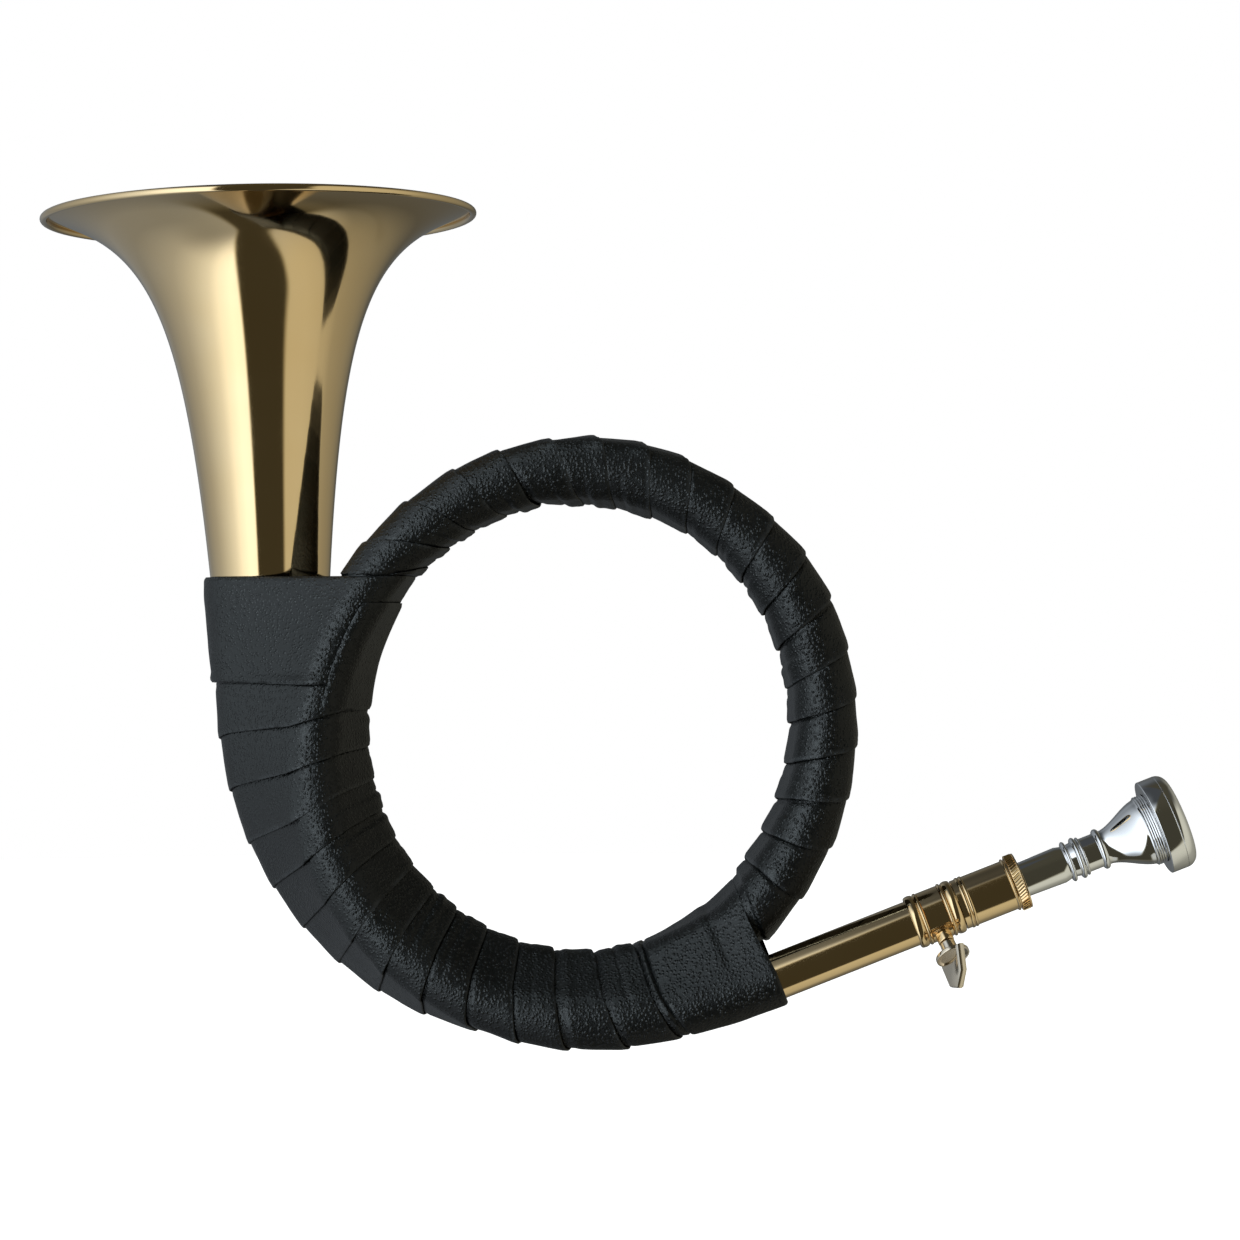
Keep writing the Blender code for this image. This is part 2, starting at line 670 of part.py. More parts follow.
def cylinder_mesh(name, radius, low, high, steps):
    mesh = bpy.data.meshes.new(name)
    work = bmesh.new()
    bmesh.ops.create_cone(
        work, cap_ends=True, segments=steps, radius1=radius, radius2=radius, depth=high - low
    )
    bmesh.ops.translate(work, verts=work.verts, vec=(0, 0, (high + low) / 2))
    work.to_mesh(mesh)
    work.free()
    return mesh


def screw_hole(cutters):
    """The hole for the screw, through the clamp sleeve and the leadpipe's wall."""
    found = bpy.data.objects.get("screw_hole")
    if found:
        return found
    radius = SCREW_DIAMETER / 2 + SLIDE_GAP
    mesh = cylinder_mesh("screw_hole", radius, SLIDE_DIAMETER / 2, CLAMP_DIAMETER, HOLE_POINTS)
    hole = bpy.data.objects.new("screw_hole", mesh)
    hole.matrix_world = screw_matrix(0)
    cutters.objects.link(as_helper(hole))
    return hole


def make_boss(parts, cutters):
    """The small round boss that holds the screw, shaped to the sleeve that it sits on."""
    seat = CLAMP_DIAMETER / 2 + FIT_GAP
    top = CLAMP_DIAMETER / 2 + BOSS_HEIGHT
    hole = SCREW_DIAMETER / 2 + SLIDE_GAP
    low = seat * BOSS_DEPTH_SHARE
    profile = [
        (BOSS_DIAMETER / 2 - BOSS_CHAMFER, top),
        (BOSS_DIAMETER / 2, top - BOSS_CHAMFER),
        (BOSS_DIAMETER / 2, low),
        (hole, low),
        (hole, top),
    ]
    boss = turned("screw_boss", profile, TURNED_STEPS, BRASS, parts, screw_matrix(0))
    mesh = cylinder_mesh("boss_seat", seat, 0.0, CLAMP_LENGTH, TURNED_STEPS)
    saddle = bpy.data.objects.new("boss_seat", mesh)
    saddle.matrix_world = pipe_matrix(CLAMP_START)
    cutters.objects.link(as_helper(saddle))
    cut(boss, saddle, "seat")
    return boss


DISC_LOW = CLAMP_DIAMETER / 2 + BOSS_HEIGHT + FIT_GAP + SCREW_COLLAR_HEIGHT
DISC_HIGH = DISC_LOW + SCREW_DISC_THICKNESS


def make_wing(cutters):
    """The oval plate of the thumb screw, its lower half buried in the disc and the collar."""
    mesh = bpy.data.meshes.new("thumb_screw_wing")
    work = bmesh.new()
    bmesh.ops.create_cone(work, cap_ends=True, segments=WING_POINTS, radius1=0.5, radius2=0.5, depth=1.0)
    bmesh.ops.scale(work, vec=(WING_SPAN, WING_HEIGHT, WING_THICKNESS), verts=work.verts)
    bmesh.ops.rotate(work, verts=work.verts, matrix=Matrix.Rotation(math.pi / 2, 3, "X"))
    rims = [edge for edge in work.edges if len({round(vert.co.y, 6) for vert in edge.verts}) == 1]
    edge = WING_THICKNESS * WING_EDGE_SHARE
    bmesh.ops.bevel(work, geom=rims, offset=edge, segments=2, affect="EDGES", profile=0.5)
    bmesh.ops.bisect_plane(
        work, geom=[*work.verts, *work.edges, *work.faces], plane_no=(0, 0, 1), clear_inner=True
    )
    bmesh.ops.holes_fill(work, edges=[edge for edge in work.edges if edge.is_boundary])
    bmesh.ops.rotate(work, verts=work.verts, matrix=Matrix.Rotation(WING_TURN, 3, "Z"))
    bmesh.ops.translate(work, verts=work.verts, vec=(0, 0, (DISC_LOW + DISC_HIGH) / 2))
    work.to_mesh(mesh)
    work.free()
    wing = bpy.data.objects.new("thumb_screw_wing", mesh)
    wing.matrix_world = screw_matrix(0)
    cutters.objects.link(as_helper(wing))
    return wing


def make_thumb_screw(parts, cutters):
    """A turned stem, a collar and a dished disc, with an oval wing standing on the disc."""
    start = SLIDE_DIAMETER / 2 + FIT_GAP
    collar_low = DISC_LOW - SCREW_COLLAR_HEIGHT
    stem, collar, disc = SCREW_DIAMETER / 2, SCREW_COLLAR_DIAMETER / 2, SCREW_DISC_DIAMETER / 2
    profile = [
        (stem, DISC_HIGH - SCREW_CHAMFER),
        (disc - SCREW_CHAMFER, DISC_HIGH),
        (disc, DISC_HIGH - SCREW_CHAMFER),
        (disc, DISC_LOW + SCREW_CHAMFER),
        (collar, DISC_LOW),
        (collar, collar_low + SCREW_CHAMFER),
        (collar - SCREW_CHAMFER, collar_low),
        (stem, collar_low),
        (stem, start + SCREW_CHAMFER),
        (stem - SCREW_CHAMFER, start),
        (0.0, start),
        (0.0, DISC_HIGH - SCREW_CHAMFER),
    ]
    screw = turned("thumb_screw", profile, TURNED_STEPS, NICKEL, parts, screw_matrix(0))
    joined = screw.modifiers.new("wing", "BOOLEAN")
    joined.operation = "UNION"
    joined.object = make_wing(cutters)
    return screw


def make_slide(parts):
    radius = SLIDE_DIAMETER / 2
    inner = radius - SLIDE_WALL
    profile = [(radius, SLIDE_LENGTH), (radius, 0.0), (inner, 0.0), (inner, SLIDE_LENGTH)]
    return turned("tuning_slide_tube", profile, TURNED_STEPS, BRASS_DARK, parts, pipe_matrix(SLIDE_START))


def shank_radius(distance):
    """The mouthpiece shank's outer radius, this far from its tip."""
    grown = (SHANK_DIAMETER - SHANK_TIP_DIAMETER) / 2
    return SHANK_TIP_DIAMETER / 2 + grown * distance / SHANK_LENGTH


def make_receiver(parts):
    """The socket that takes the mouthpiece, with its two fine rings, over the slide tube's end."""
    radius = RECEIVER_DIAMETER / 2
    socket = SLIDE_DIAMETER / 2 + FIT_GAP
    step = SLIDE_SOCKET + FIT_GAP
    seat = RECEIVER_LENGTH - KNURL_LENGTH - FIT_GAP
    bead_high = seat - BEAD_SPACE
    taper_low = shank_radius(RECEIVER_START + step - SHANK_START) + FIT_GAP
    taper_high = shank_radius(SHANK_INSERTION) + FIT_GAP
    crest = radius + RECEIVER_RING_HEIGHT
    between = RECEIVER_RING_PLACE + RECEIVER_RING
    profile = [(radius, RECEIVER_LENGTH), (radius, seat)]
    bead_crest = radius + RECEIVER_BEAD_HEIGHT
    profile += bead(bead_high, bead_high - RECEIVER_BEAD, radius, bead_crest, FINE_POINTS)
    profile += bead(between + RECEIVER_RING, between, radius, crest, FINE_POINTS)[:-1]
    profile += bead(between, RECEIVER_RING_PLACE, radius, crest, FINE_POINTS)
    profile += [(radius, 0.0), (socket, 0.0), (socket, step)]
    profile += [(taper_low, step), (taper_high, RECEIVER_LENGTH)]
    return turned("mouthpiece_receiver", profile, TURNED_STEPS, BRASS, parts, pipe_matrix(RECEIVER_START))


def make_knurled_ring(parts):
    """The ring on the receiver's mouth, its teeth slanted round it."""
    bore = RECEIVER_DIAMETER / 2 + FIT_GAP
    crest = KNURL_DIAMETER / 2
    count = 2 * KNURL_TEETH
    layers = []
    for height, slant in ((0.0, 0.0), (KNURL_LENGTH - KNURL_LIP, 1.0), (KNURL_LENGTH, 1.0)):
        lip = height == KNURL_LENGTH
        for inner in (True, False):
            ring = []
            for index in range(count):
                turn = 2 * math.pi * index / count + KNURL_SLANT * slant
                root = 0.0 if index % 2 or lip else KNURL_DEPTH
                radius = bore if inner else crest - root
                ring.append((radius * math.cos(turn), radius * math.sin(turn), height))
            layers.append(ring)
    inner = layers[0::2]
    outer = layers[1::2]
    loops = outer + inner[::-1]
    mesh = loop_mesh("knurled_ring", loops, closed=True)
    piece = add_object("knurled_ring", mesh, BRASS, parts)
    piece.matrix_world = pipe_matrix(RECEIVER_END - KNURL_LENGTH)
    return piece


def loop_mesh(name, loops, closed):
    """A mesh lofted through point loops of one count, closed round or capped at its two ends."""
    work = bmesh.new()
    rings = [[work.verts.new(tuple(point)) for point in loop] for loop in loops]
    count = len(rings[0])
    pairs = list(zip(rings, rings[1:]))
    if closed:
        pairs.append((rings[-1], rings[0]))
    for low, high in pairs:
        for index in range(count):
            after = (index + 1) % count
            work.faces.new((low[index], low[after], high[after], high[index]))
    if not closed:
        work.faces.new(rings[0][::-1])
        work.faces.new(rings[-1])
    bmesh.ops.recalc_face_normals(work, faces=work.faces)
    if work.calc_volume(signed=True) < 0:
        bmesh.ops.reverse_faces(work, faces=work.faces)
    bmesh.ops.triangulate(work, faces=work.faces)
    mesh = bpy.data.meshes.new(name)
    work.to_mesh(mesh)
    work.free()
    shade(mesh)
    return mesh


def cup_outside(share):
    """The cup's outer radius from its neck, concave at first and then bulging, to its wide end."""
    neck, wide = BARREL_DIAMETER / 2, CUP_DIAMETER / 2
    curved = 1 - CUP_STRAIGHT_SHARE
    return neck + (wide - neck) * (CUP_STRAIGHT_SHARE * share + curved * float(smooth(share)))


def make_mouthpiece(parts):
    """Shank, beaded stem, flaring cup and the spigot that the rim screws on."""
    stem = SHANK_LENGTH
    barrel, ring, band = BARREL_DIAMETER / 2, BARREL_RING_DIAMETER / 2, BARREL_BEAD_DIAMETER / 2
    cup_low = CUP_START - SHANK_START
    cup_high = cup_low + CUP_LENGTH
    spigot = SPIGOT_DIAMETER / 2
    top = cup_high + SPIGOT_SHOULDER + SPIGOT_LENGTH
    barrel_high = cup_low - NECK_LENGTH - STEM_RING
    barrel_low = barrel_high - BARREL_LENGTH
    profile = [(spigot, top), (spigot, cup_high)]
    profile.append((cup_outside(1.0), cup_high - CUP_EDGE))
    for index in range(CUP_POINTS - 1, -1, -1):
        share = index / CUP_POINTS
        profile.append((cup_outside(share), cup_low + share * CUP_LENGTH))
    profile += bead(cup_low - NECK_LENGTH / 2, barrel_high, barrel, ring)
    profile += [(barrel, barrel_low)]
    high = barrel_low - BEAD_SPACE
    profile += bead(high, high - STEM_FINE_BEAD, barrel, band - STEM_FINE_BEAD_DROP, FINE_POINTS)
    high -= STEM_FINE_BEAD + BEAD_SPACE
    profile += bead(high, high - STEM_WIDE_BEAD, barrel, band)
    high -= STEM_WIDE_BEAD + STEM_VALLEY
    profile += bead(high, high - STEM_RING, barrel - STEM_VALLEY_DEPTH, ring)
    profile += [(shank_radius(stem), stem), (SHANK_TIP_DIAMETER / 2, 0.0), (SHANK_TIP_BORE / 2, 0.0)]
    throat = THROAT_DIAMETER / 2
    throat_high = cup_low + THROAT_INTO_CUP
    profile += [(throat, cup_low - THROAT_BELOW_CUP), (throat, throat_high)]
    for index in range(1, CUP_BORE_POINTS + 1):
        share = index / CUP_BORE_POINTS
        bore = throat + (CUP_BORE / 2 - throat) * share**CUP_BORE_POWER
        profile.append((bore, throat_high + (top - throat_high) * share))
    return turned("mouthpiece", profile, TURNED_STEPS, SILVER, parts, pipe_matrix(SHANK_START))


def make_mouthpiece_rim(parts):
    """The separate rim: a flat back, a short band and a rounded lip, bored for the spigot."""
    outer, crest = RIM_DIAMETER / 2, RIM_CREST_DIAMETER / 2
    socket = SPIGOT_DIAMETER / 2 + FIT_GAP
    ledge = SPIGOT_LENGTH + FIT_GAP
    hole = CUP_BORE / 2
    profile = []
    for turn in np.linspace(math.pi / 2, 0, RIM_POINTS + 1):
        lip = (RIM_LENGTH - RIM_BAND) * math.sin(turn)
        profile.append((crest + (outer - crest) * math.cos(turn), RIM_BAND + lip))
    profile += [(outer, RIM_BACK_CHAMFER), (outer - RIM_BACK_CHAMFER, 0.0)]
    profile += [(socket, 0.0), (socket, ledge), (hole, ledge)]
    for index in range(1, RIM_INSIDE_POINTS):
        turn = math.pi / 2 * index / RIM_INSIDE_POINTS
        height = RIM_INSIDE_SHARE + (1 - RIM_INSIDE_SHARE) * math.sin(turn)
        profile.append((crest - (crest - hole) * math.cos(turn), ledge + (RIM_LENGTH - ledge) * height))
    return turned("mouthpiece_rim", profile, TURNED_STEPS, SILVER, parts, pipe_matrix(RIM_START))


def crossings(origin, angle, skip):
    """Where the tube passes this plane near the origin: centre, direction and covered radius."""
    turn = math.radians(angle)
    normal = np.array([-math.sin(turn), 0.0, -math.cos(turn)])
    side = (ROUTE - origin) @ normal
    found = []
    for index in np.nonzero(side[:-1] * side[1:] <= 0)[0]:
        share = side[index] / (side[index] - side[index + 1])
        centre = ROUTE[index] + (ROUTE[index + 1] - ROUTE[index]) * share
        station = STATIONS[index]
        if np.linalg.norm(centre - origin) > NEAR_COIL or any(low < station < high for low, high in skip):
            continue
        along = ROUTE[index + 1] - ROUTE[index]
        radius = COVERED[index] + (COVERED[index + 1] - COVERED[index]) * share
        found.append((centre, along / np.linalg.norm(along), radius))
    return normal, found


def hull(origin, angle, skip):
    """The outline of a band pulled tight round the tubes in this plane.

    It gives a measure from 0 to 1 that starts at the middle of the front and runs to the coil's inner
    side first, with the outline's points and its outward normals.
    """
    normal, found = crossings(origin, angle, skip)
    turn = math.radians(angle)
    outward = np.array([math.cos(turn), 0.0, -math.sin(turn)])
    deep = np.array([0.0, 1.0, 0.0])
    sweep = -math.pi / 2 - np.linspace(0, 2 * math.pi, HULL_DIRECTIONS + 1)
    ways = np.cos(sweep)[:, None] * outward + np.sin(sweep)[:, None] * deep
    best, points = np.full(len(ways), -1e9), np.zeros_like(ways)
    for centre, along, radius in found:
        short = np.cross(normal, along)
        short = short / np.linalg.norm(short) if np.linalg.norm(short) > 1e-9 else deep
        wide = np.cross(short, normal)
        stretch = radius / abs(along @ normal)
        a_part, b_part = ways @ wide * stretch, ways @ short * radius
        size = np.hypot(a_part, b_part)
        touch = centre + (a_part / size * stretch)[:, None] * wide
        touch += (b_part / size * radius)[:, None] * short
        reach = ways @ centre + size
        points = np.where((reach > best)[:, None], touch, points)
        best = np.maximum(best, reach)
    steps = np.linalg.norm(np.diff(points, axis=0), axis=1)
    length = np.concatenate([[0], np.cumsum(steps)])
    measure = 0.5 * length / length[-1] + 0.5 * np.linspace(0, 1, HULL_DIRECTIONS + 1)
    return measure, points, ways


def outline_point(band, share, stand):
    """The point at this share of the outline's measure, standing off it by this much."""
    measure, points, ways = band
    share = share % 1.0
    point = np.array([np.interp(share, measure, points[:, axis]) for axis in range(3)])
    way = np.array([np.interp(share, measure, ways[:, axis]) for axis in range(3)])
    return point + stand * way / np.linalg.norm(way)


def polar_middle(angle):
    """The point of the middle ellipse that lies at this angle from the coil's centre."""
    turn = np.radians(angle)
    across, down = np.sin(turn) * COIL_HALF_WIDTH, np.cos(turn) * COIL_HALF_HEIGHT
    return middle(np.degrees(np.arctan2(across, down)))[0]


def angle_at(direction, distance, angles):
    """The angle, among these, where the middle ellipse is this far from the centre along a direction."""
    reach = (polar_middle(angles) - COIL_CENTRE) @ direction
    order = np.argsort(reach)
    return float(np.interp(distance, reach[order], angles[order]))


NEAR_FOOT = np.arange(FOOT_ANGLE - 45, FOOT_ANGLE, 0.5)
NEAR_BELL = np.arange(180.0, 250.0, 0.5)
MOUTHPIPE_CUFF_ANGLE = angle_at(LEAD_DIRECTION, MOUTHPIPE_CUFF_LENGTH, NEAR_FOOT)
BELL_CUFF_ANGLE = angle_at(np.array([0.0, 0.0, 1.0]), BELL_CUFF_TOP, NEAR_BELL)


def lower_plane(distance):
    """The plane of the lower winding this far along it, from the coil's foot to the bell's cuff."""
    sweep = math.radians(180 - FOOT_ANGLE) * BELL_AXIS_DISTANCE
    if distance < sweep:
        angle = FOOT_ANGLE + math.degrees(distance / BELL_AXIS_DISTANCE)
        return polar_middle(angle), angle
    return polar_middle(180.0) + np.array([0.0, 0.0, distance - sweep]), 180.0


LOWER_LENGTH = math.radians(180 - FOOT_ANGLE) * BELL_AXIS_DISTANCE + BELL_CUFF_BOTTOM
UPPER_LENGTH = math.radians(360 + MOUTHPIPE_CUFF_ANGLE - BELL_CUFF_ANGLE) * COIL_HALF_HEIGHT


def upper_plane(distance):
    """The plane of the upper winding this far along it, from the bell's cuff to the mouthpipe's."""
    angle = BELL_CUFF_ANGLE + math.degrees(distance / COIL_HALF_HEIGHT)
    end = 360 + MOUTHPIPE_CUFF_ANGLE
    tilt = (180 - BELL_CUFF_ANGLE) * (1 - float(smooth((angle - BELL_CUFF_ANGLE) / PLANE_BLEND)))
    tilt += (FOOT_ANGLE - MOUTHPIPE_CUFF_ANGLE) * float(smooth((angle - end + PLANE_BLEND) / PLANE_BLEND))
    return polar_middle(angle), angle + tilt


def wound_strip(name, plane, length, laps, proud_start, skip, parts):
    """One unbroken strip wound round the tubes, each lap resting on the one before it."""
    pitch = length / laps
    width = pitch * (1 + LAP_OVERLAP)
    low_end, high_end = WRAP_GAP, length - WRAP_GAP
    reach = width * (0.5 - LAP_END_SHARE)
    first = math.ceil((low_end - reach) / pitch * LAP_POINTS)
    last = math.floor((high_end + reach) / pitch * LAP_POINTS)
    rings, faces_down, faces_up = [], [], []
    for index in range(first, last + 1):
        share = index / LAP_POINTS
        centre = pitch * (share + LAP_SLANT * math.sin(2 * math.pi * share) / (2 * math.pi))
        edges = [max(centre - width / 2, low_end), min(centre + width / 2, high_end)]
        if edges[1] - edges[0] < width * LAP_END_SHARE / 2:
            continue
        corners = []
        for edge in edges:
            place = (edge - centre) / width + 0.5
            rise = LAP_RISE * (1 - place if proud_start else place)
            band = hull(*plane(edge), skip)
            inner = outline_point(band, share, WRAP_CLEARANCE + rise)
            outer = outline_point(band, share, WRAP_CLEARANCE + rise + LEATHER)
            corners.append((inner, outer))
        rings.append([corners[0][0], corners[0][1], corners[1][1], corners[1][0]])
        faces_down.append((corners[0][0], corners[1][0]))
        faces_up.append((corners[0][1], corners[1][1]))
    piece = add_object(name, loop_mesh(name, rings, closed=False), HIDE, parts)
    gap = lap_gap(faces_down, faces_up)
    print(f"{name}: {len(rings) / LAP_POINTS:.1f} laps, least gap to itself {gap * 1000:.2f} mm")
    return piece


def lap_gap(faces_down, faces_up):
    """The least distance from points on each lap's two faces to the faces of the laps beside it."""
    least = 1.0
    half = LAP_POINTS // 2
    for start in range(0, len(faces_up), half):
        near = range(start, min(start + half, len(faces_up)))
        points = []
        for index in near:
            for side in (faces_down, faces_up):
                low, high = side[index]
                points += [Vector(low + (high - low) * share) for share in np.linspace(0, 1, 7)]
        for sides in (faces_down, faces_up):
            for beside in (start - LAP_POINTS - 6, start + LAP_POINTS - 6):
                rows = [sides[row] for row in range(max(beside, 0), min(beside + half + 12, len(sides)))]
                if len(rows) < 2:
                    continue
                spots = [Vector(spot) for row in rows for spot in row]
                quads = [(2 * row, 2 * row + 1, 2 * row + 3, 2 * row + 2) for row in range(len(rows) - 1)]
                tree = BVHTree.FromPolygons(spots, quads)
                least = min(least, min(tree.find_nearest(point)[3] for point in points))
    return least


def make_lower_winding(parts):
    return wound_strip("lower_winding", lower_plane, LOWER_LENGTH, LOWER_LAPS, True, [], parts)


def make_upper_winding(parts):
    """The straight mouthpipe and the bell's branch leave the coil, so this strip goes past them."""
    skip = [(-1000, FOOT_WIND + 100), (BELL_WIND - 90, 2000)]
    return wound_strip("upper_winding", upper_plane, UPPER_LENGTH, UPPER_LAPS, False, skip, parts)


def sleeve(name, planes, stands, skip, parts):
    """A leather sleeve pulled over the tubes through these planes, open at both ends."""
    outer, inner = [], []
    for plane, stand in zip(planes, stands):
        band = hull(*plane, skip)
        shares = np.arange(CUFF_POINTS) / CUFF_POINTS
        inner.append([outline_point(band, share, stand) for share in shares])
        outer.append([outline_point(band, share, stand + CUFF_THICKNESS) for share in shares])
    return add_object(name, loop_mesh(name, outer + inner[::-1], closed=True), HIDE, parts)


def make_bell_cuff(parts):
    plain = np.linspace(BELL_CUFF_BOTTOM + CUFF_EDGE_LENGTH, BELL_CUFF_TOP, CUFF_ROWS)
    heights = np.concatenate([[BELL_CUFF_BOTTOM], plain])
    planes = [(polar_middle(180.0) + np.array([0.0, 0.0, height]), 180.0) for height in heights]
    stands = [CUFF_EDGE_STAND] + [WRAP_CLEARANCE + FIT_GAP] * CUFF_ROWS
    return sleeve("bell_cuff", planes, stands, [], parts)


def make_mouthpipe_cuff(parts):
    """The first lap, stretched flat across the crotch of the mouthpipe and the coil."""
    reaches = np.linspace(0, MOUTHPIPE_CUFF_LENGTH, MOUTHPIPE_CUFF_ROWS)
    foot = polar_middle(FOOT_ANGLE)
    planes = [(foot + reach * LEAD_DIRECTION, FOOT_ANGLE) for reach in reaches]
    stands = [WRAP_CLEARANCE + FIT_GAP] * MOUTHPIPE_CUFF_ROWS
    return sleeve("mouthpipe_cuff", planes, stands, [], parts)


def make_cuff_flap(parts):
    """The end of the cuff's leather, lapped over its front and inner side."""
    rows = []
    stand = WRAP_CLEARANCE + 2 * FIT_GAP + CUFF_THICKNESS + FLAP_CLEARANCE
    for height in np.linspace(FLAP_BOTTOM, FLAP_TOP, FLAP_ROWS):
        band = hull(polar_middle(180.0) + np.array([0.0, 0.0, height]), 180.0, [])
        lean = (height - FLAP_BOTTOM) / (FLAP_TOP - FLAP_BOTTOM) * FLAP_LEAN
        shares = np.linspace(FLAP_START - lean, FLAP_START + FLAP_SWEEP, FLAP_POINTS)
        lower = [outline_point(band, share, stand) for share in shares]
        upper = [outline_point(band, share, stand + LEATHER) for share in shares]
        rows.append(lower + upper[::-1])
    return add_object("cuff_flap", loop_mesh("cuff_flap", rows, closed=False), HIDE, parts)


def under(parent, *pieces):
    """Hangs the pieces on the parent and keeps their places."""
    bpy.context.view_layer.update()
    for piece in pieces:
        place = piece.matrix_world.copy()
        piece.parent = parent
        piece.matrix_parent_inverse = parent.matrix_world.inverted()
        piece.matrix_world = place


def empty(name, matrix, parts):
    spot = bpy.data.objects.new(name, None)
    spot.empty_display_size = 0.01
    spot.matrix_world = matrix
    parts.objects.link(spot)
    return spot


def main():
    for old in list(bpy.data.objects):
        bpy.data.objects.remove(old)
    scene = bpy.context.scene
    parts = bpy.data.collections.new("hunting_horn")
    cutters = bpy.data.collections.new("cutters")
    scene.collection.children.link(parts)
    scene.collection.children.link(cutters)

    horn = [make_bell(parts), make_rim_wire(parts), make_bell_ferrule(parts)]
    tubes = {
        "bell_branch": (BRANCH_JOINT + BUTT, BELL_JOINT - BELL_BUTT),
        "coil_turn_2": (TURN_JOINT + BUTT, BRANCH_JOINT - BUTT),
        "coil_turn_1": (LEADPIPE_JOINT + BUTT, TURN_JOINT - BUTT),
    }
    for name, (start, end) in tubes.items():
        horn.append(coil_tube(name, start, end, BRASS, parts, cutters))
    horn.append(coil_ferrule("branch_ferrule", BRANCH_JOINT, parts, cutters))
    horn.append(coil_ferrule("turn_ferrule", TURN_JOINT, parts, cutters))
    horn.append(coil_ferrule("leadpipe_ferrule", LEADPIPE_JOINT, parts, cutters))
    horn += [make_leadpipe(parts, cutters), make_clamp(parts, cutters), make_boss(parts, cutters)]
    horn += [make_lower_winding(parts), make_upper_winding(parts)]
    horn += [make_bell_cuff(parts), make_mouthpipe_cuff(parts), make_cuff_flap(parts)]

    hanger = empty("hanging_point", Matrix.Identity(4), parts)
    screw_axis = empty("screw_axis", screw_matrix(CLAMP_DIAMETER / 2), parts)
    slide_axis = empty("slide_axis", pipe_matrix(RECEIVER_START), parts)
    mouthpiece_axis = empty("mouthpiece_axis", pipe_matrix(RECEIVER_END), parts)
    rim_axis = empty("rim_axis", pipe_matrix(RIM_START), parts)
    under(hanger, *horn, screw_axis, slide_axis)
    under(screw_axis, make_thumb_screw(parts, cutters))
    under(slide_axis, make_slide(parts), make_receiver(parts), make_knurled_ring(parts), mouthpiece_axis)
    under(mouthpiece_axis, make_mouthpiece(parts), rim_axis)
    under(rim_axis, make_mouthpiece_rim(parts))
    print(f"least gap between turns {least_turn_gap() * 1000:.2f} mm")
    print(f"depth of the bell's axis {BELL_DEPTH * 1000:.2f} mm")


main()
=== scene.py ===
"""Hunting horn: the finished look of a brass natural horn whose coil is wound with black leather.

Metres, +Z up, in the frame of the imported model: the coil lies in the XZ plane, its turns stack
along Y and the bell points up. The viewer stands at -Y. A wind angle is in degrees, clockwise
round the coil as seen from the viewer, starting at +X.
"""

import json
import math

import bmesh
import bpy
import numpy as np
from mathutils import Matrix, Vector, noise

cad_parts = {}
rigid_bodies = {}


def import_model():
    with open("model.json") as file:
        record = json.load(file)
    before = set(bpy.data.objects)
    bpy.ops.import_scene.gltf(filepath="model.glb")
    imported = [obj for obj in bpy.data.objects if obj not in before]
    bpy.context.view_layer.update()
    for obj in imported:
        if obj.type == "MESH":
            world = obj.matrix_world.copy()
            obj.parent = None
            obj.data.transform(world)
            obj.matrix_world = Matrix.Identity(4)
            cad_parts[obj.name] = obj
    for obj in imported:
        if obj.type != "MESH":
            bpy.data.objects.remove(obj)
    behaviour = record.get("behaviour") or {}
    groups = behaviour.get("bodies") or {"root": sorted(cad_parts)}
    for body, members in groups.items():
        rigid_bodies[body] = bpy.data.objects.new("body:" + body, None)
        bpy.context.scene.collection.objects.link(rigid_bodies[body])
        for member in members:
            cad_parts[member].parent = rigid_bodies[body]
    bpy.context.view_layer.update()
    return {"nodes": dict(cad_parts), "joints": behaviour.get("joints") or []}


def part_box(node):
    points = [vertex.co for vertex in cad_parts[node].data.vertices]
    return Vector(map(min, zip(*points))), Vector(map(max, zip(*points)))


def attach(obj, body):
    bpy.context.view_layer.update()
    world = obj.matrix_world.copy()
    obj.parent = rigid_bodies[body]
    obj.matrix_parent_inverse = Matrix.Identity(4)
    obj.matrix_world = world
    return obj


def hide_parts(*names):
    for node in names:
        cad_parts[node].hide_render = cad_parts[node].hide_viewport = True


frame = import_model()
JOINTS = {joint["name"]: joint for joint in frame["joints"]}

bl_info = {
    "name": "Hunting Horn",
    "version": (1, 0, 0),
    "blender": (4, 5, 0),
    "location": "3D View > Sidebar > Horn",
    "description": "Builds the brass, silver and leather surfaces of a hunting horn",
    "category": "Object",
}

# Fits and the tube's route
FIT_GAP = 0.0003
LEAD_BEND = 15.0
TUCK_OFFSET = 0.0088
TUCK_SWEEP = 25.0
TUCK_END = 135.0
MERGE_END = 235.0
BRANCH_WIND = 750.0
TURN_END_WIND = 625.0
BELL_WIND = 900.0
BELL_SETTLE = 40.0
STATION_STEP = 10.0
FERRULE_STAND = 0.0008
FERRULE_STEPS = (3.5, 27.5, 58.5)
ROUTE_STEP = 0.001
NEAR_COIL = 0.045
TUBE_STEP = 3.0

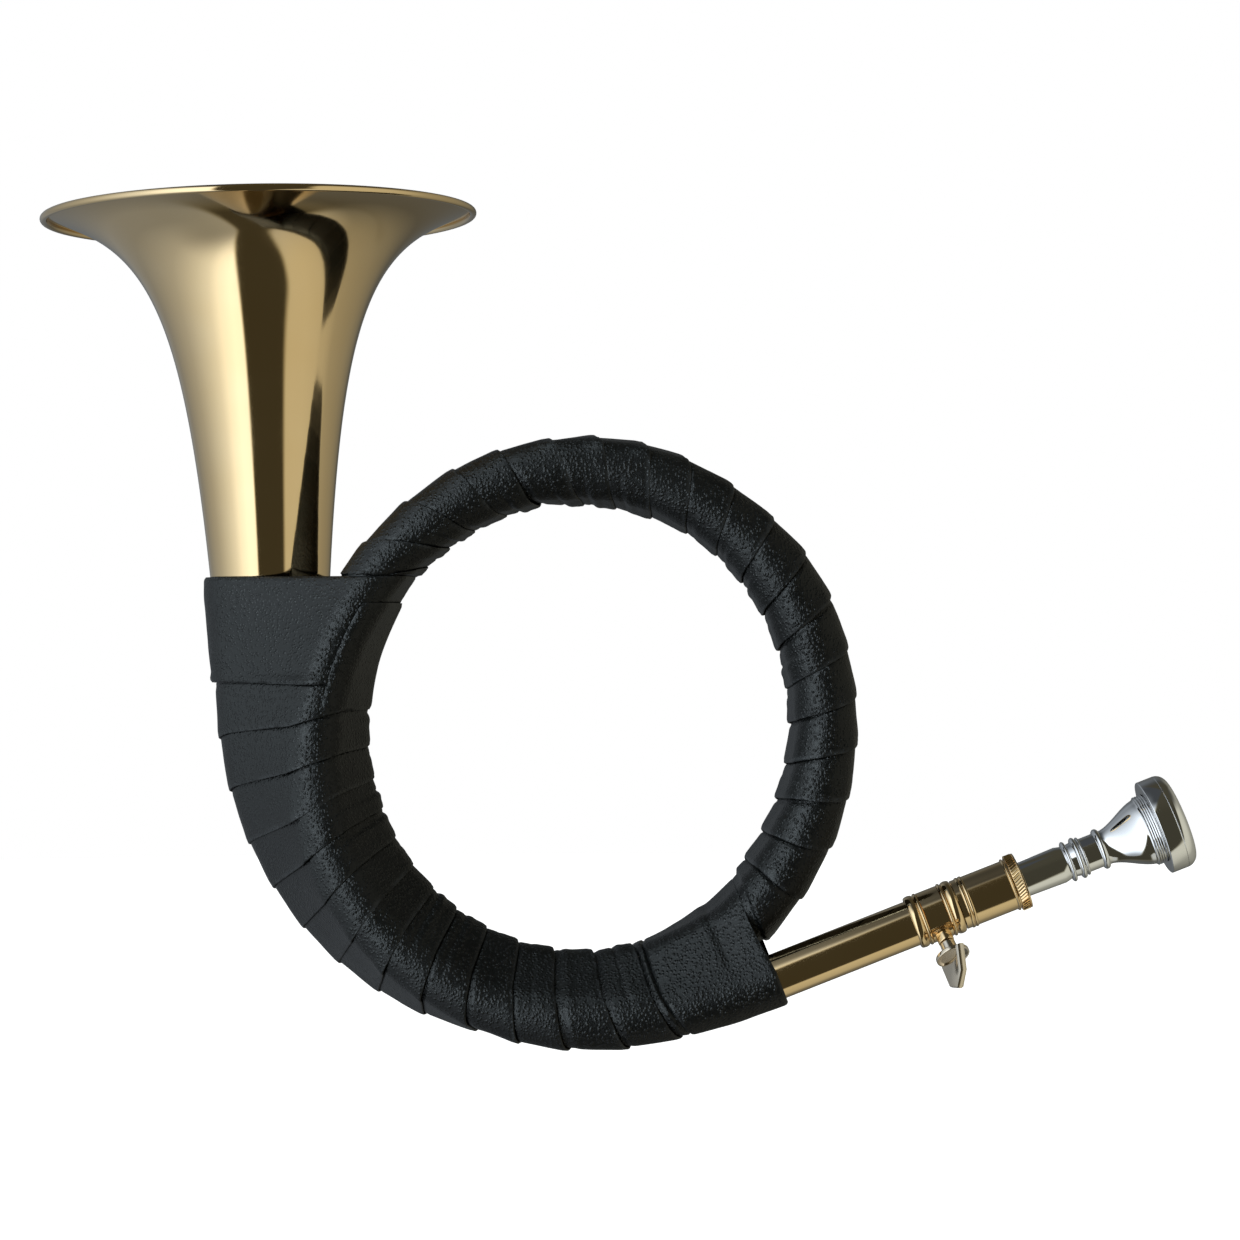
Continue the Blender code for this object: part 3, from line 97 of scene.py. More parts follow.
# Leather layout
WRAP_CLEARANCE = 0.0005
WRAP_GAP = 0.00045
LAP_SLANT = 0.5
LOWER_LAPS = (70.9, 80.7, 91.2, 100.3, 109.5, 118.5, 127.3, 135.5, 143.8, 152.4, 160.4, 169.5, 178.1, 188.6)
UPPER_LAPS = (
    219.5, 229.5, 239.5, 249.5, 258.7, 270.0, 279.0, 288.0, 298.0, 308.0,
    317.7, 328.0, 338.8, 349.7, 359.2, 370.0, 380.5, 391.7, 402.2, 412.5, 423.0, 433.0,
)
OUTER_LAP, INNER_LAP = 0.67, 0.33
LAP_END_SHARE = 0.15
PLANE_BLEND = 30.0
MOUTHPIPE_CUFF_REACH = 0.026
HULL_DIRECTIONS = 180
BAND_SHARES = 240
BAND_STEP = 0.0006
LAP_POINTS = 96
LAP_COLUMNS = 25
LAP_SEAT = 0.0005
TUCK_UNDER = 0.004
HEM_RUN = 0.0016
HEM_UNDER_CUFF = 0.00055
HEM_UNDER_LIP = 0.0013
CUFF_START, CUFF_SLANT, CUFF_CUT = 0.0055, 0.0035, 0.002
EDGE_TURNS = (60, 20, -20, -60)

# The studio: brightness by the way round, in degrees from the camera, to the right above zero
STUDIO_BANDS = (
    (-180, 0.12), (-166, 0.16), (-152, 0.28), (-136, 0.28), (-117, 0.38), (-100, 0.48), (-88, 0.60),
    (-72, 0.80), (-58, 1.02), (-46, 1.36), (-30, 1.62), (-8, 1.50), (20, 0.60), (62, 0.60), (78, 0.56),
    (92, 0.48), (104, 0.36), (136, 0.27), (152, 0.20), (166, 0.10), (180, 0.12),
)
STUDIO_PEAK = 1.62
CEILING, CEILING_RISE, CEILING_LEFT = 0.06, (0.52, 0.90), (-0.70, -0.25)
TABLE_LEFT, TABLE_RIGHT, TABLE_DROP = 0.30, 0.55, (0.78, 0.97)
DARK_GAP, GAP_LEFT, GAP_RIGHT = 0.05, (-0.31, -0.25), (0.50, 0.60)
GAP_BACK, GAP_LEAN = (0.35, 0.75), 0.30
COOL, WARM, GAP_TINT = (0.91, 1.0, 1.09, 1.0), (1.02, 1.0, 0.82, 1.0), (1.0, 0.92, 0.62, 1.0)

# The leather's own lights: name, degrees round from the camera, degrees up, degrees wide, brightness
SOFTBOXES = (
    ("key_softbox", -30.0, 0.0, 18.0, 7.0),
    ("left_softbox", -76.0, 0.0, 62.0, 1.0),
    ("top_softbox", -52.0, 62.0, 34.0, 3.0),
)
SOFTBOX_REACH, SOFTBOX_HEIGHT, SOFTBOX_COLOUR = 1.3, 1.5, (0.84, 1.0, 1.08)
LEATHER_PIECES = (
    "horn_lower_winding", "horn_upper_winding", "horn_bell_cuff", "horn_mouthpipe_cuff", "horn_cuff_flap",
)

# Fineness of the turned shapes
BELL_SEGMENTS = 192
BELL_RINGS = 96
TURNED_SEGMENTS = 96
TUBE_SEGMENTS = 64


def length(name, description, default):
    return bpy.props.FloatProperty(
        name=name, description=description, default=default, precision=5, unit="LENGTH"
    )


def angle(name, description, degrees):
    return bpy.props.FloatProperty(
        name=name, description=description, default=math.radians(degrees), subtype="ANGLE"
    )


def factor(name, description, default):
    return bpy.props.FloatProperty(
        name=name, description=description, default=default, min=0.0, subtype="FACTOR"
    )


def whole(name, description, default):
    return bpy.props.IntProperty(name=name, description=description, default=default, min=0)


def colour(name, description, default):
    return bpy.props.FloatVectorProperty(
        name=name, description=description, default=(*default, 1.0), size=4, min=0.0, max=1.0, subtype="COLOR"
    )


class BellSizes(bpy.types.PropertyGroup):
    diameter: length("Diameter", "Across the rolled rim of the bell", 0.1256)
    height: length("Height", "From the coil's side up to the mouth", 0.1477)
    joint_height: length("Joint height", "From the coil's side up to the joint with the tube", 0.027)
    axis_distance: length("Axis distance", "From the coil's centre to the bell's axis", 0.0889)
    lean: angle("Lean", "How far the bell leans away from the coil", 1.7)
    flare_shift: length("Flare shift", "Smaller values turn the mouth out more sharply", 0.0083)
    flare_power: factor("Flare power", "How fast the tube narrows below the mouth", 0.493)
    wall: length("Wall", "Thickness of the sheet brass", 0.0005)
    bead: length("Rim bead", "Thickness of the rolled rim", 0.0021)


class CoilSizes(bpy.types.PropertyGroup):
    half_width: length("Half width", "From the centre to the middle of the tubes, sideways", 0.06995)
    half_height: length("Half height", "From the centre to the middle of the tubes, upwards", 0.0731)
    drop: length("Drop", "From the hanging point down to the centre", 0.0634)
    turn_gap: length("Turn gap", "Between one turn of tube and the next", 0.0011)
    turn_diameter: length("Turn diameter", "The tube after its first turn", 0.0147)
    branch_diameter: length("Branch diameter", "The tube where the bell's branch starts", 0.0168)
    wall: length("Wall", "Thickness of the tube's wall", 0.00055)


class MouthpipeSizes(bpy.types.PropertyGroup):
    distance: length("Distance", "From the coil's centre to the pipe's axis", 0.0856)
    depth: length("Depth", "The pipe's place along Y, nearer the viewer below zero", -0.013)
    diameter: length("Diameter", "Across the mouthpipe", 0.013)
    length: length("Length", "From the coil's foot to the pipe's end", 0.0799)
    clamp_length: length("Clamp length", "The beaded sleeve on the pipe's end", 0.0137)
    clamp_diameter: length("Clamp diameter", "Across the sleeve", 0.0148)
    clamp_lead: length("Clamp lead", "How far the sleeve passes the pipe's end", 0.0003)
    inner_bead: length("Inner beads", "Across the beads towards the coil", 0.01526)
    outer_bead: length("Outer beads", "Across the beads towards the mouthpiece", 0.0155)
    receiver_length: length("Receiver length", "The socket of the mouthpiece", 0.0192)
    receiver_diameter: length("Receiver diameter", "Across the socket", 0.0143)
    knurl_length: length("Knurled ring", "Length of the knurled ring", 0.0028)
    knurl_diameter: length("Knurled ring diameter", "Across the knurled ring", 0.01605)
    knurl_slant: angle("Knurl slant", "How far the teeth lean", 24.0)
    knurl_teeth: whole("Knurl teeth", "Teeth round the ring", 54)


class ScrewSizes(bpy.types.PropertyGroup):
    station: length("Station", "From the sleeve's start to the screw", 0.0073)
    stem: length("Stem", "Across the screw's thread", 0.002)
    boss: length("Boss", "Across the boss that holds the screw", 0.0046)
    boss_height: length("Boss height", "How far the boss stands off the sleeve", 0.0022)
    collar: length("Collar", "Across the screw's collar", 0.0044)
    collar_height: length("Collar height", "Height of the collar", 0.0036)
    disc: length("Disc", "Across the screw's dished disc", 0.0097)
    disc_thickness: length("Disc thickness", "Thickness of the disc", 0.0012)
    wing_span: length("Wing span", "Width of the oval wing", 0.0116)
    wing_height: length("Wing height", "Whole height of the oval wing", 0.0176)
    wing_thickness: length("Wing thickness", "Thickness of the oval wing", 0.0026)
    wing_turn: angle("Wing turn", "How far the wing is turned on its screw", 58.0)
    wing_lean: factor("Wing lean", "How far the wing's tip leans to one side", 0.3)


class MouthpieceSizes(bpy.types.PropertyGroup):
    shank_length: length("Shank length", "The tapered shank", 0.0326)
    tip_diameter: length("Tip diameter", "The shank's thin end", 0.0091)
    shank_diameter: length("Shank diameter", "The shank's thick end", 0.0104)
    insertion: length("Insertion", "How far the shank goes into the receiver", 0.0212)
    barrel_diameter: length("Barrel diameter", "The stem between its beads", 0.00985)
    ring_diameter: length("Ring diameter", "The stem's rings", 0.0118)
    bead_diameter: length("Bead diameter", "The stem's wide bead", 0.012)
    stem_length: length("Stem length", "From the shank to the cup", 0.0138)
    cup_diameter: length("Cup diameter", "The cup's widest part", 0.0191)
    cup_length: length("Cup length", "The cup's outside, end to end", 0.0118)
    cup_bore: length("Cup bore", "The width of the cup inside", 0.0166)
    throat: length("Throat", "The narrowest bore", 0.0043)
    spigot_diameter: length("Spigot diameter", "The thread that takes the rim", 0.0195)
    shoulder: length("Shoulder", "The threaded part that shows behind the rim", 0.0028)
    rim_diameter: length("Rim diameter", "Across the screw rim", 0.0271)
    rim_length: length("Rim length", "The screw rim, back to lip", 0.0079)
    rim_band: length("Rim band", "The straight part of the screw rim", 0.0048)
    rim_crest: length("Rim crest", "Across the crest of the lip", 0.0212)


class LeatherSizes(bpy.types.PropertyGroup):
    thickness: length("Thickness", "The winding's leather at its free edge", 0.0007)
    rise: length("Rise", "How far a lap's free edge stands above its covered one", 0.0010)
    overlap: factor("Overlap", "How much of a lap the next one covers", 0.12)
    lower_laps: factor("Lower laps", "Laps from the mouthpipe to the bell", 13.4)
    upper_laps: factor("Upper laps", "Laps from the bell over the top to the mouthpipe", 19.5)
    waviness: length("Waviness", "How far a lap's edges wander", 0.0006)
    creases: length("Creases", "Depth of the creases on the coil's inner side", 0.0005)
    lift: length("Lift", "How far a free edge lifts where the leather bridges two tubes", 0.0009)
    cuff_thickness: length("Cuff thickness", "The cuffs' leather", 0.0009)
    cuff_top: length("Cuff top", "Top of the bell's cuff above the coil's side", 0.0423)
    cuff_bottom: length("Cuff bottom", "Bottom of the bell's cuff above the coil's side", 0.012)
    grain: length("Grain", "Size of the leather's pebbles", 0.00095)
    seed: whole("Seed", "Changes the wandering of the edges", 7)


class Finishes(bpy.types.PropertyGroup):
    brass: colour("Brass", "Lacquered brass", (0.86, 0.65, 0.37))
    deep_brass: colour("Deep brass", "Lacquered brass where it is warmer", (0.80, 0.57, 0.28))
    dull_brass: colour("Dull brass", "Brass under the leather", (0.46, 0.31, 0.12))
    silver: colour("Silver", "Silver plate of the mouthpiece", (0.90, 0.90, 0.90))
    nickel: colour("Nickel", "Plate of the thumb screw", (0.72, 0.70, 0.66))
    steel: colour("Steel", "Wire inside the bell's rim", (0.50, 0.50, 0.50))
    hide: colour("Hide", "Leather", (0.0030, 0.0032, 0.0030))
    # Lighter edge colour of the leather: partly rubbed wear, partly a painted highlight along the laps' free edges.
    hide_edge: colour("Hide edge", "Leather where its edges are rubbed", (0.022, 0.023, 0.024))


class StageSettings(bpy.types.PropertyGroup):
    camera: bpy.props.FloatVectorProperty(
        name="Camera", description="Where the camera stands", default=(0.0112, -0.87, -0.0334), subtype="XYZ"
    )
    lens: bpy.props.FloatProperty(
        name="Lens", description="Focal length in millimetres", default=88.55, unit="CAMERA"
    )
    floor_height: length("Floor height", "Height of the floor", -0.30)
    floor: colour("Floor", "The pale floor", (0.90, 0.90, 0.89))
    brightness: factor("Brightness", "Strength of the studio's light", 1.0)


class HornSettings(bpy.types.PropertyGroup):
    bell: bpy.props.PointerProperty(type=BellSizes, name="Bell", description="Sizes of the bell")
    coil: bpy.props.PointerProperty(type=CoilSizes, name="Coil", description="Sizes of the coil")
    mouthpipe: bpy.props.PointerProperty(type=MouthpipeSizes, name="Mouthpipe", description="Mouthpipe sizes")
    screw: bpy.props.PointerProperty(type=ScrewSizes, name="Thumb screw", description="Thumb screw sizes")
    mouthpiece: bpy.props.PointerProperty(
        type=MouthpieceSizes, name="Mouthpiece", description="Mouthpiece sizes"
    )
    leather: bpy.props.PointerProperty(type=LeatherSizes, name="Leather", description="Sizes of the leather")
    finishes: bpy.props.PointerProperty(type=Finishes, name="Finishes", description="Colours of the finishes")
    stage: bpy.props.PointerProperty(type=StageSettings, name="Stage", description="Camera, floor and light")


def smooth(share):
    share = np.clip(share, 0.0, 1.0)
    return share * share * (3 - 2 * share)


def flare(bell, depth):
    """The bell's outer radius this far below its mouth, along the tube."""
    return bell.diameter / 2 * ((depth + bell.flare_shift) / bell.flare_shift) ** -bell.flare_power


class Route:
    """The tube's centre line, mouthpipe end first: stations, points and outer radii.

    A station is the wind angle on the coil. It runs on by one for each millimetre of the straight
    mouthpipe before the coil's foot, and of the straight bell after the coil.
    """

    def __init__(self, horn):
        self.coil, self.bell, self.pipe = horn.coil, horn.bell, horn.mouthpipe
        self.centre = np.array([0.0, 0.0, -self.coil.drop])
        self.lead_way = np.array(JOINTS["tuning_slide"]["axis"], float)
        self.lead_normal = np.array([self.lead_way[2], 0.0, -self.lead_way[0]])
        self.foot_angle = 90.0 - math.degrees(math.atan2(self.lead_way[2], self.lead_way[0]))
        turn = math.radians(self.foot_angle)
        self.foot_wind = math.degrees(
            math.atan2(math.sin(turn) * self.coil.half_height, math.cos(turn) * self.coil.half_width)
        )
        self.bend_wind = self.foot_wind - LEAD_BEND
        self.bell_offset = self.bell.axis_distance - self.coil.half_width
        self.lead_foot = self.centre + self.pipe.distance * self.lead_normal + [0.0, self.pipe.depth, 0.0]
        self.bend_offset = float(self.line_offset(self.bend_wind))
        self.bend_slope = float(self.line_offset(self.bend_wind + 0.5) - self.line_offset(self.bend_wind - 0.5))
        winds = np.arange(self.bend_wind, BELL_WIND + 0.5, 1.0)
        self.winds = np.append(winds[winds < BELL_WIND - 0.5], BELL_WIND)
        steps = np.linalg.norm(np.diff(self.flat(self.winds), axis=0), axis=1)
        self.to_bell = np.append(np.cumsum(steps[::-1])[::-1], 0.0)
        low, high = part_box("bell")
        self.bell_depth = (low.y + high.y) / 2
        self.bell_way = np.array([-math.sin(self.bell.lean), 0.0, math.cos(self.bell.lean)])
        self.bend_place = float((self.flat(np.array(self.bend_wind)) - self.lead_foot) @ self.lead_way)
        self.joints = [self.bend_wind + step * STATION_STEP for step in FERRULE_STEPS]
        self.joints.append(BELL_WIND + self.bell.joint_height * 1000)
        self.lay_out()

    def middle(self, wind):
        """The point of the coil's middle ellipse, and its outward normal, both in the plane Y = 0."""
        turn = np.radians(wind)
        zero = np.zeros_like(turn)
        wide, high = self.coil.half_width, self.coil.half_height
        point = np.stack([wide * np.cos(turn), zero, -high * np.sin(turn)], -1)
        normal = np.stack([np.cos(turn) / wide, zero, -np.sin(turn) / high], -1)
        return point + self.centre, normal / np.linalg.norm(normal, axis=-1, keepdims=True)

    def line_offset(self, wind):
        """How far outside the middle ellipse the straight mouthpipe's axis lies."""
        point, normal = self.middle(np.array(wind))
        reach = self.pipe.distance - (point - self.centre) @ self.lead_normal
        return reach / (normal @ self.lead_normal)

    def offset(self, wind):
        """How far the tube's centre lies outside the middle ellipse."""
        sweep = self.foot_wind + TUCK_SWEEP - self.bend_wind
        share = np.clip((wind - self.bend_wind) / sweep, 0.0, 1.0)
        tucked = self.bend_offset + (TUCK_OFFSET - self.bend_offset) * smooth(share)
        tucked = tucked + self.bend_slope * sweep * share * (1 - share) ** 2
        tucked = tucked * (1 - smooth((wind - TUCK_END) / (MERGE_END - TUCK_END)))
        sweep = BELL_WIND - BRANCH_WIND
        share = np.clip((wind - BRANCH_WIND) / sweep, 0.0, 1.0)
        speed = self.coil.half_height + self.bell_offset * self.coil.half_width / self.coil.half_height
        lean = math.tan(self.bell.lean) * speed * math.radians(sweep)
        return tucked + self.bell_offset * smooth(share) + lean * (share**3 - share**2)

    def flat(self, wind):
        point, normal = self.middle(wind)
        return point + normal * self.offset(wind)[..., None]

    def tube_radius(self, wind):
        """The tube grows slowly round its turns, faster to the bell's branch, and then flares."""
        sizes = [self.pipe.diameter, self.coil.turn_diameter, self.coil.branch_diameter]
        grown = np.interp(wind, [self.foot_wind, TURN_END_WIND, BRANCH_WIND], sizes) / 2
        ahead = np.interp(wind, self.winds, self.to_bell)
        whole_way = np.interp(BRANCH_WIND, self.winds, self.to_bell)
        last = flare(self.bell, self.bell.height)
        end = (last / (self.coil.branch_diameter / 2)) ** (1 / self.bell.flare_power)
        branch = last * (1 + (end - 1) * ahead / whole_way) ** -self.bell.flare_power
        return np.where(wind < BRANCH_WIND, grown, branch)

    def lift(self, wind):
        """How far the next turn lies behind this one, so that the two keep the gap between turns."""
        reach = self.tube_radius(wind) + self.tube_radius(wind + 360) + self.coil.turn_gap
        aside = self.offset(wind) - self.offset(wind + 360)
        return np.sqrt(np.maximum(reach**2 - aside**2, 0.0))

    def first_depth(self, wind):
        start = BELL_WIND - 720
        share = smooth((wind - start) / (self.foot_wind + 360 - start))
        return self.pipe.depth + self.lift(np.array(self.foot_wind)) * share

    def second_depth(self, wind):
        return self.first_depth(wind - 360) + self.lift(wind - 360)

    def third_depth(self, wind):
        clear = self.second_depth(wind - 360) + self.lift(wind - 360)
        start = self.foot_wind + 720
        share = smooth((wind - start) / (BELL_WIND - BELL_SETTLE - start))
        return clear + (self.bell_depth - clear) * share

    def lead_station(self, reach):
        """The station of a place on the straight mouthpipe, this far from the coil's foot."""
        return self.bend_wind - (reach - self.bend_place) * 1000

    def lay_out(self):
        reach = np.arange(self.pipe.length, self.bend_place, -ROUTE_STEP)
        lead = self.lead_foot + reach[:, None] * self.lead_way
        coil = self.flat(self.winds)
        first, second = self.winds < self.foot_wind + 360, self.winds < self.foot_wind + 720
        later = np.where(second, self.second_depth(self.winds), self.third_depth(self.winds))
        coil[:, 1] = np.where(first, self.first_depth(self.winds), later)
        rise = np.arange(ROUTE_STEP, self.bell.height, ROUTE_STEP)
        bell = self.flat(np.array(BELL_WIND)) + rise[:, None] * self.bell_way
        bell[:, 1] = self.bell_depth
        self.stations = np.concatenate([self.lead_station(reach), self.winds, BELL_WIND + rise * 1000])
        self.points = np.concatenate([lead, coil, bell])
        widths = [np.full(len(reach), self.pipe.diameter / 2), self.tube_radius(self.winds)]
        self.radii = np.concatenate([*widths, flare(self.bell, self.bell.height - rise)])
        stand = np.zeros_like(self.stations)
        for joint in self.joints:
            stand = np.maximum(stand, FERRULE_STAND * (1 - smooth((np.abs(self.stations - joint) - 8.0) / 10.0)))
        self.covered = self.radii + stand

    def between(self, start, end, step=TUBE_STEP):
        """Evenly spaced centre points and radii between two stations."""
        stations = np.linspace(start, end, max(2, round((end - start) / step) + 1))
        points = np.stack([np.interp(stations, self.stations, self.points[:, axis]) for axis in range(3)], -1)
        return points, np.interp(stations, self.stations, self.radii)

    def crossings(self, origin, angle, skip):
        """Where the tube passes this plane near the origin: centre, direction and covered radius."""
        turn = math.radians(angle)
        normal = np.array([-math.sin(turn), 0.0, -math.cos(turn)])
        side = (self.points - origin) @ normal
        found = []
        for index in np.nonzero(side[:-1] * side[1:] <= 0)[0]:
            share = side[index] / (side[index] - side[index + 1])
            centre = self.points[index] + (self.points[index + 1] - self.points[index]) * share
            station = self.stations[index]
            if np.linalg.norm(centre - origin) > NEAR_COIL or any(low < station < high for low, high in skip):
                continue
            along = self.points[index + 1] - self.points[index]
            radius = self.covered[index] + (self.covered[index + 1] - self.covered[index]) * share
            found.append((centre, along / np.linalg.norm(along), radius))
        return normal, found

    def hull(self, origin, angle, skip):
        """The outline of a band pulled tight round the tubes in this plane.

        It gives a measure from 0 to 1 that starts at the middle of the front and runs to the coil's
        inner side first, with the outline's points and its outward normals.
        """
        normal, found = self.crossings(origin, angle, skip)
        turn = math.radians(angle)
        outward = np.array([math.cos(turn), 0.0, -math.sin(turn)])
        deep = np.array([0.0, 1.0, 0.0])
        sweep = -math.pi / 2 - np.linspace(0, 2 * math.pi, HULL_DIRECTIONS + 1)
        ways = np.cos(sweep)[:, None] * outward + np.sin(sweep)[:, None] * deep
        best, points = np.full(len(ways), -1e9), np.zeros_like(ways)
        for centre, along, radius in found:
            short = np.cross(normal, along)
            short = short / np.linalg.norm(short) if np.linalg.norm(short) > 1e-9 else deep
            wide = np.cross(short, normal)
            stretch = radius / abs(along @ normal)
            a_part, b_part = ways @ wide * stretch, ways @ short * radius
            size = np.hypot(a_part, b_part)
            touch = centre + (a_part / size * stretch)[:, None] * wide + (b_part / size * radius)[:, None] * short
            reach = ways @ centre + size
            points = np.where((reach > best)[:, None], touch, points)
            best = np.maximum(best, reach)
        steps = np.linalg.norm(np.diff(points, axis=0), axis=1)
        walked = np.concatenate([[0], np.cumsum(steps)])
        measure = 0.5 * walked / walked[-1] + 0.5 * np.linspace(0, 1, HULL_DIRECTIONS + 1)
        return measure, points, ways, outward

    def polar_middle(self, angle):
        """The point of the middle ellipse that lies at this angle from the coil's centre."""
        turn = np.radians(angle)
        across, down = np.sin(turn) * self.coil.half_width, np.cos(turn) * self.coil.half_height
        return self.middle(np.degrees(np.arctan2(across, down)))[0]

    def angle_at(self, way, distance, angles):
        """The angle, among these, where the middle ellipse is this far from the centre along a way."""
        reach = (self.polar_middle(angles) - self.centre) @ way
        order = np.argsort(reach)
        return float(np.interp(distance, reach[order], angles[order]))


class Band:
    """The outline pulled tight round the tubes, sampled through a row of planes."""

    def __init__(self, route, planes, skip=(), first=0.0):
        self.first = first
        shares = np.linspace(0, 1, BAND_SHARES + 1)
        points, ways, outward = [], [], []
        for origin, turn in planes:
            measure, spots, normals, away = route.hull(origin, turn, skip)
            points.append([np.interp(shares, measure, spots[:, axis]) for axis in range(3)])
            ways.append([np.interp(shares, measure, normals[:, axis]) for axis in range(3)])
            outward.append(away)
        self.points = np.array(points).transpose(0, 2, 1)
        self.ways = np.array(ways).transpose(0, 2, 1)
        self.outward = np.array(outward)

    def sample(self, grid, row, share):
        row = np.clip(row, 0, len(grid) - 1.001)
        place = (share % 1.0) * BAND_SHARES
        low_row, low_place = np.floor(row).astype(int), np.floor(place).astype(int)
        up, over = (row - low_row)[..., None], (place - low_place)[..., None]
        near = grid[low_row, low_place] * (1 - over) + grid[low_row, low_place + 1] * over
        far = grid[low_row + 1, low_place] * (1 - over) + grid[low_row + 1, low_place + 1] * over
        return near * (1 - up) + far * up

    def row(self, distance):
        return (distance - self.first) / BAND_STEP

    def at(self, row, share):
        """Points on the outline at these fractional rows and shares, and their outward ways."""
        way = self.sample(self.ways, row, share)
        return self.sample(self.points, row, share), way / np.linalg.norm(way, axis=-1, keepdims=True)

    def innerness(self, row, way):
        """How far each way points to the coil's centre, from 0 to 1."""
        low = np.clip(np.round(row).astype(int), 0, len(self.outward) - 1)
        return np.clip(-(self.outward[low] * way).sum(-1), 0.0, 1.0)


def wander(places, size, seed):
    """Smooth random values between -1 and 1 at these places, a new one about every size."""
    flat = np.asarray(places, float).reshape(-1)
    values = [noise.noise(Vector((place / size, seed * 7.31, 0.5))) for place in flat]
    return np.array(values).reshape(np.shape(places)) * 1.6


def grain(points, size, seed):
    """Smooth random values at these points in space."""
    flat = points.reshape(-1, 3) / size + seed * 3.7
    return np.array([noise.noise(Vector(point)) for point in flat]).reshape(points.shape[:-1])


def grid_mesh(name, grid, closed=False, uv=None, wear=None):
    """A mesh through rings of points, each ring closed, its ends capped or joined to each other."""
    rings, count = grid.shape[:2]
    ids = np.arange(rings * count).reshape(rings, count)
    low, high = (ids, np.roll(ids, -1, axis=0)) if closed else (ids[:-1], ids[1:])
    quads = np.stack([low, np.roll(low, -1, axis=1), np.roll(high, -1, axis=1), high], -1).reshape(-1, 4)
    faces = [tuple(quad) for quad in quads.tolist()]
    if not closed:
        faces += [tuple(ids[0][::-1].tolist()), tuple(ids[-1].tolist())]
    mesh = bpy.data.meshes.new(name)
    mesh.from_pydata(grid.reshape(-1, 3).tolist(), [], faces)
    if uv is not None:
        corners = np.empty(len(mesh.loops), np.int32)
        mesh.loops.foreach_get("vertex_index", corners)
        layer = mesh.uv_layers.new(name="around_across")
        layer.data.foreach_set("uv", uv.reshape(-1, 2)[corners].astype(np.float32).ravel())
    # Share of the lighter edge colour at each point: partly rubbed wear, partly painted highlight.
    if wear is not None:
        layer = mesh.attributes.new("wear", "FLOAT", "POINT")
        layer.data.foreach_set("value", wear.reshape(-1).astype(np.float32))
    face_out(mesh)
    return mesh


def face_out(mesh):
    work = bmesh.new()
    work.from_mesh(mesh)
    if work.calc_volume(signed=True) < 0:
        bmesh.ops.reverse_faces(work, faces=work.faces)
    work.to_mesh(mesh)
    work.free()


def shade(mesh, degrees=32):
    mesh.shade_smooth()
    mesh.set_sharp_from_angle(angle=math.radians(degrees))


def piece(name, mesh, finish, body, nodes):
    """A finished piece: its mesh in place, its finish, the body it rides on and the nodes it stands for."""
    mesh.materials.clear()
    mesh.materials.append(finish)
    made = bpy.data.objects.new(name, mesh)
    bpy.context.scene.collection.objects.link(made)
    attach(made, body)
    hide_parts(*nodes)
    return made


def joined(name, meshes):
    """One mesh from several, each kept as it is."""
    work = bmesh.new()
    for mesh in meshes:
        work.from_mesh(mesh)
    whole_mesh = bpy.data.meshes.new(name)
    work.to_mesh(whole_mesh)
    work.free()
    return whole_mesh


def eased(profile, radius, points=3):
    """A closed profile with its sharp corners rounded off, by this radius at most."""
    spots = [np.array(spot, float) for spot in profile]
    rounded = []
    for index, spot in enumerate(spots):
        before, after = spots[index - 1] - spot, spots[(index + 1) % len(spots)] - spot
        reach_before, reach_after = np.linalg.norm(before), np.linalg.norm(after)
        if min(reach_before, reach_after) < 1e-7 or spot[0] < 1e-6:
            rounded.append(tuple(spot))
            continue
        bend = np.dot(before, after) / reach_before / reach_after
        if bend < -0.93:
            rounded.append(tuple(spot))
            continue
        start = spot + before / reach_before * min(radius, reach_before * 0.4)
        end = spot + after / reach_after * min(radius, reach_after * 0.4)
        for share in np.linspace(0, 1, points + 1):
            rounded.append(tuple(start * (1 - share) ** 2 + spot * 2 * share * (1 - share) + end * share**2))
    return rounded


def turned(name, profile, matrix, segments=TURNED_SEGMENTS):
    """A closed (radius, height) profile, its outer side top to bottom first, turned round Z."""
    turns = np.linspace(0, 2 * math.pi, segments, endpoint=False)
    radii, heights = np.array(profile).T
    grid = np.stack([
        np.cos(turns)[:, None] * radii,
        np.sin(turns)[:, None] * radii,
        np.broadcast_to(heights, (segments, len(profile))),
    ], -1)
    mesh = grid_mesh(name, grid, closed=True)
    work = bmesh.new()
    work.from_mesh(mesh)
    bmesh.ops.remove_doubles(work, verts=work.verts, dist=1e-7)
    work.to_mesh(mesh)
    work.free()
    face_out(mesh)
    mesh.transform(matrix)
    shade(mesh)
    return mesh


def bead(high, low, base, crest, points=10):
    """A half-round bead on a turned outside, from its high end to its low one."""
    turns = np.linspace(0, math.pi, points + 1)
    centre, half = (high + low) / 2, (high - low) / 2
    return [(base + (crest - base) * math.sin(turn), centre + half * math.cos(turn)) for turn in turns]


def tube(name, points, radii, segments=TUBE_SEGMENTS):
    """Rings of points round a centre line, turned with the least twist."""
    ways = np.gradient(points, axis=0)
    ways /= np.linalg.norm(ways, axis=1, keepdims=True)
    side = np.cross(ways[0], [0.0, 1.0, 0.0])
    turns = np.linspace(0, 2 * math.pi, segments, endpoint=False)
    rings = []
    for point, way, radius in zip(points, ways, radii):
        side = side - way * (side @ way)
        side /= np.linalg.norm(side)
        up = np.cross(way, side)
        rings.append(point + radius * (np.cos(turns)[:, None] * side + np.sin(turns)[:, None] * up))
    return np.array(rings)


def hollow_tube(name, points, radii, wall, segments=TUBE_SEGMENTS):
    """A tube with a bore, its two ends closed by the wall."""
    outer = tube(name, points, radii, segments)
    inner = tube(name, points, radii - wall, segments)
    mesh = grid_mesh(name, np.concatenate([outer, inner[::-1]]), closed=True)
    shade(mesh)
    return mesh


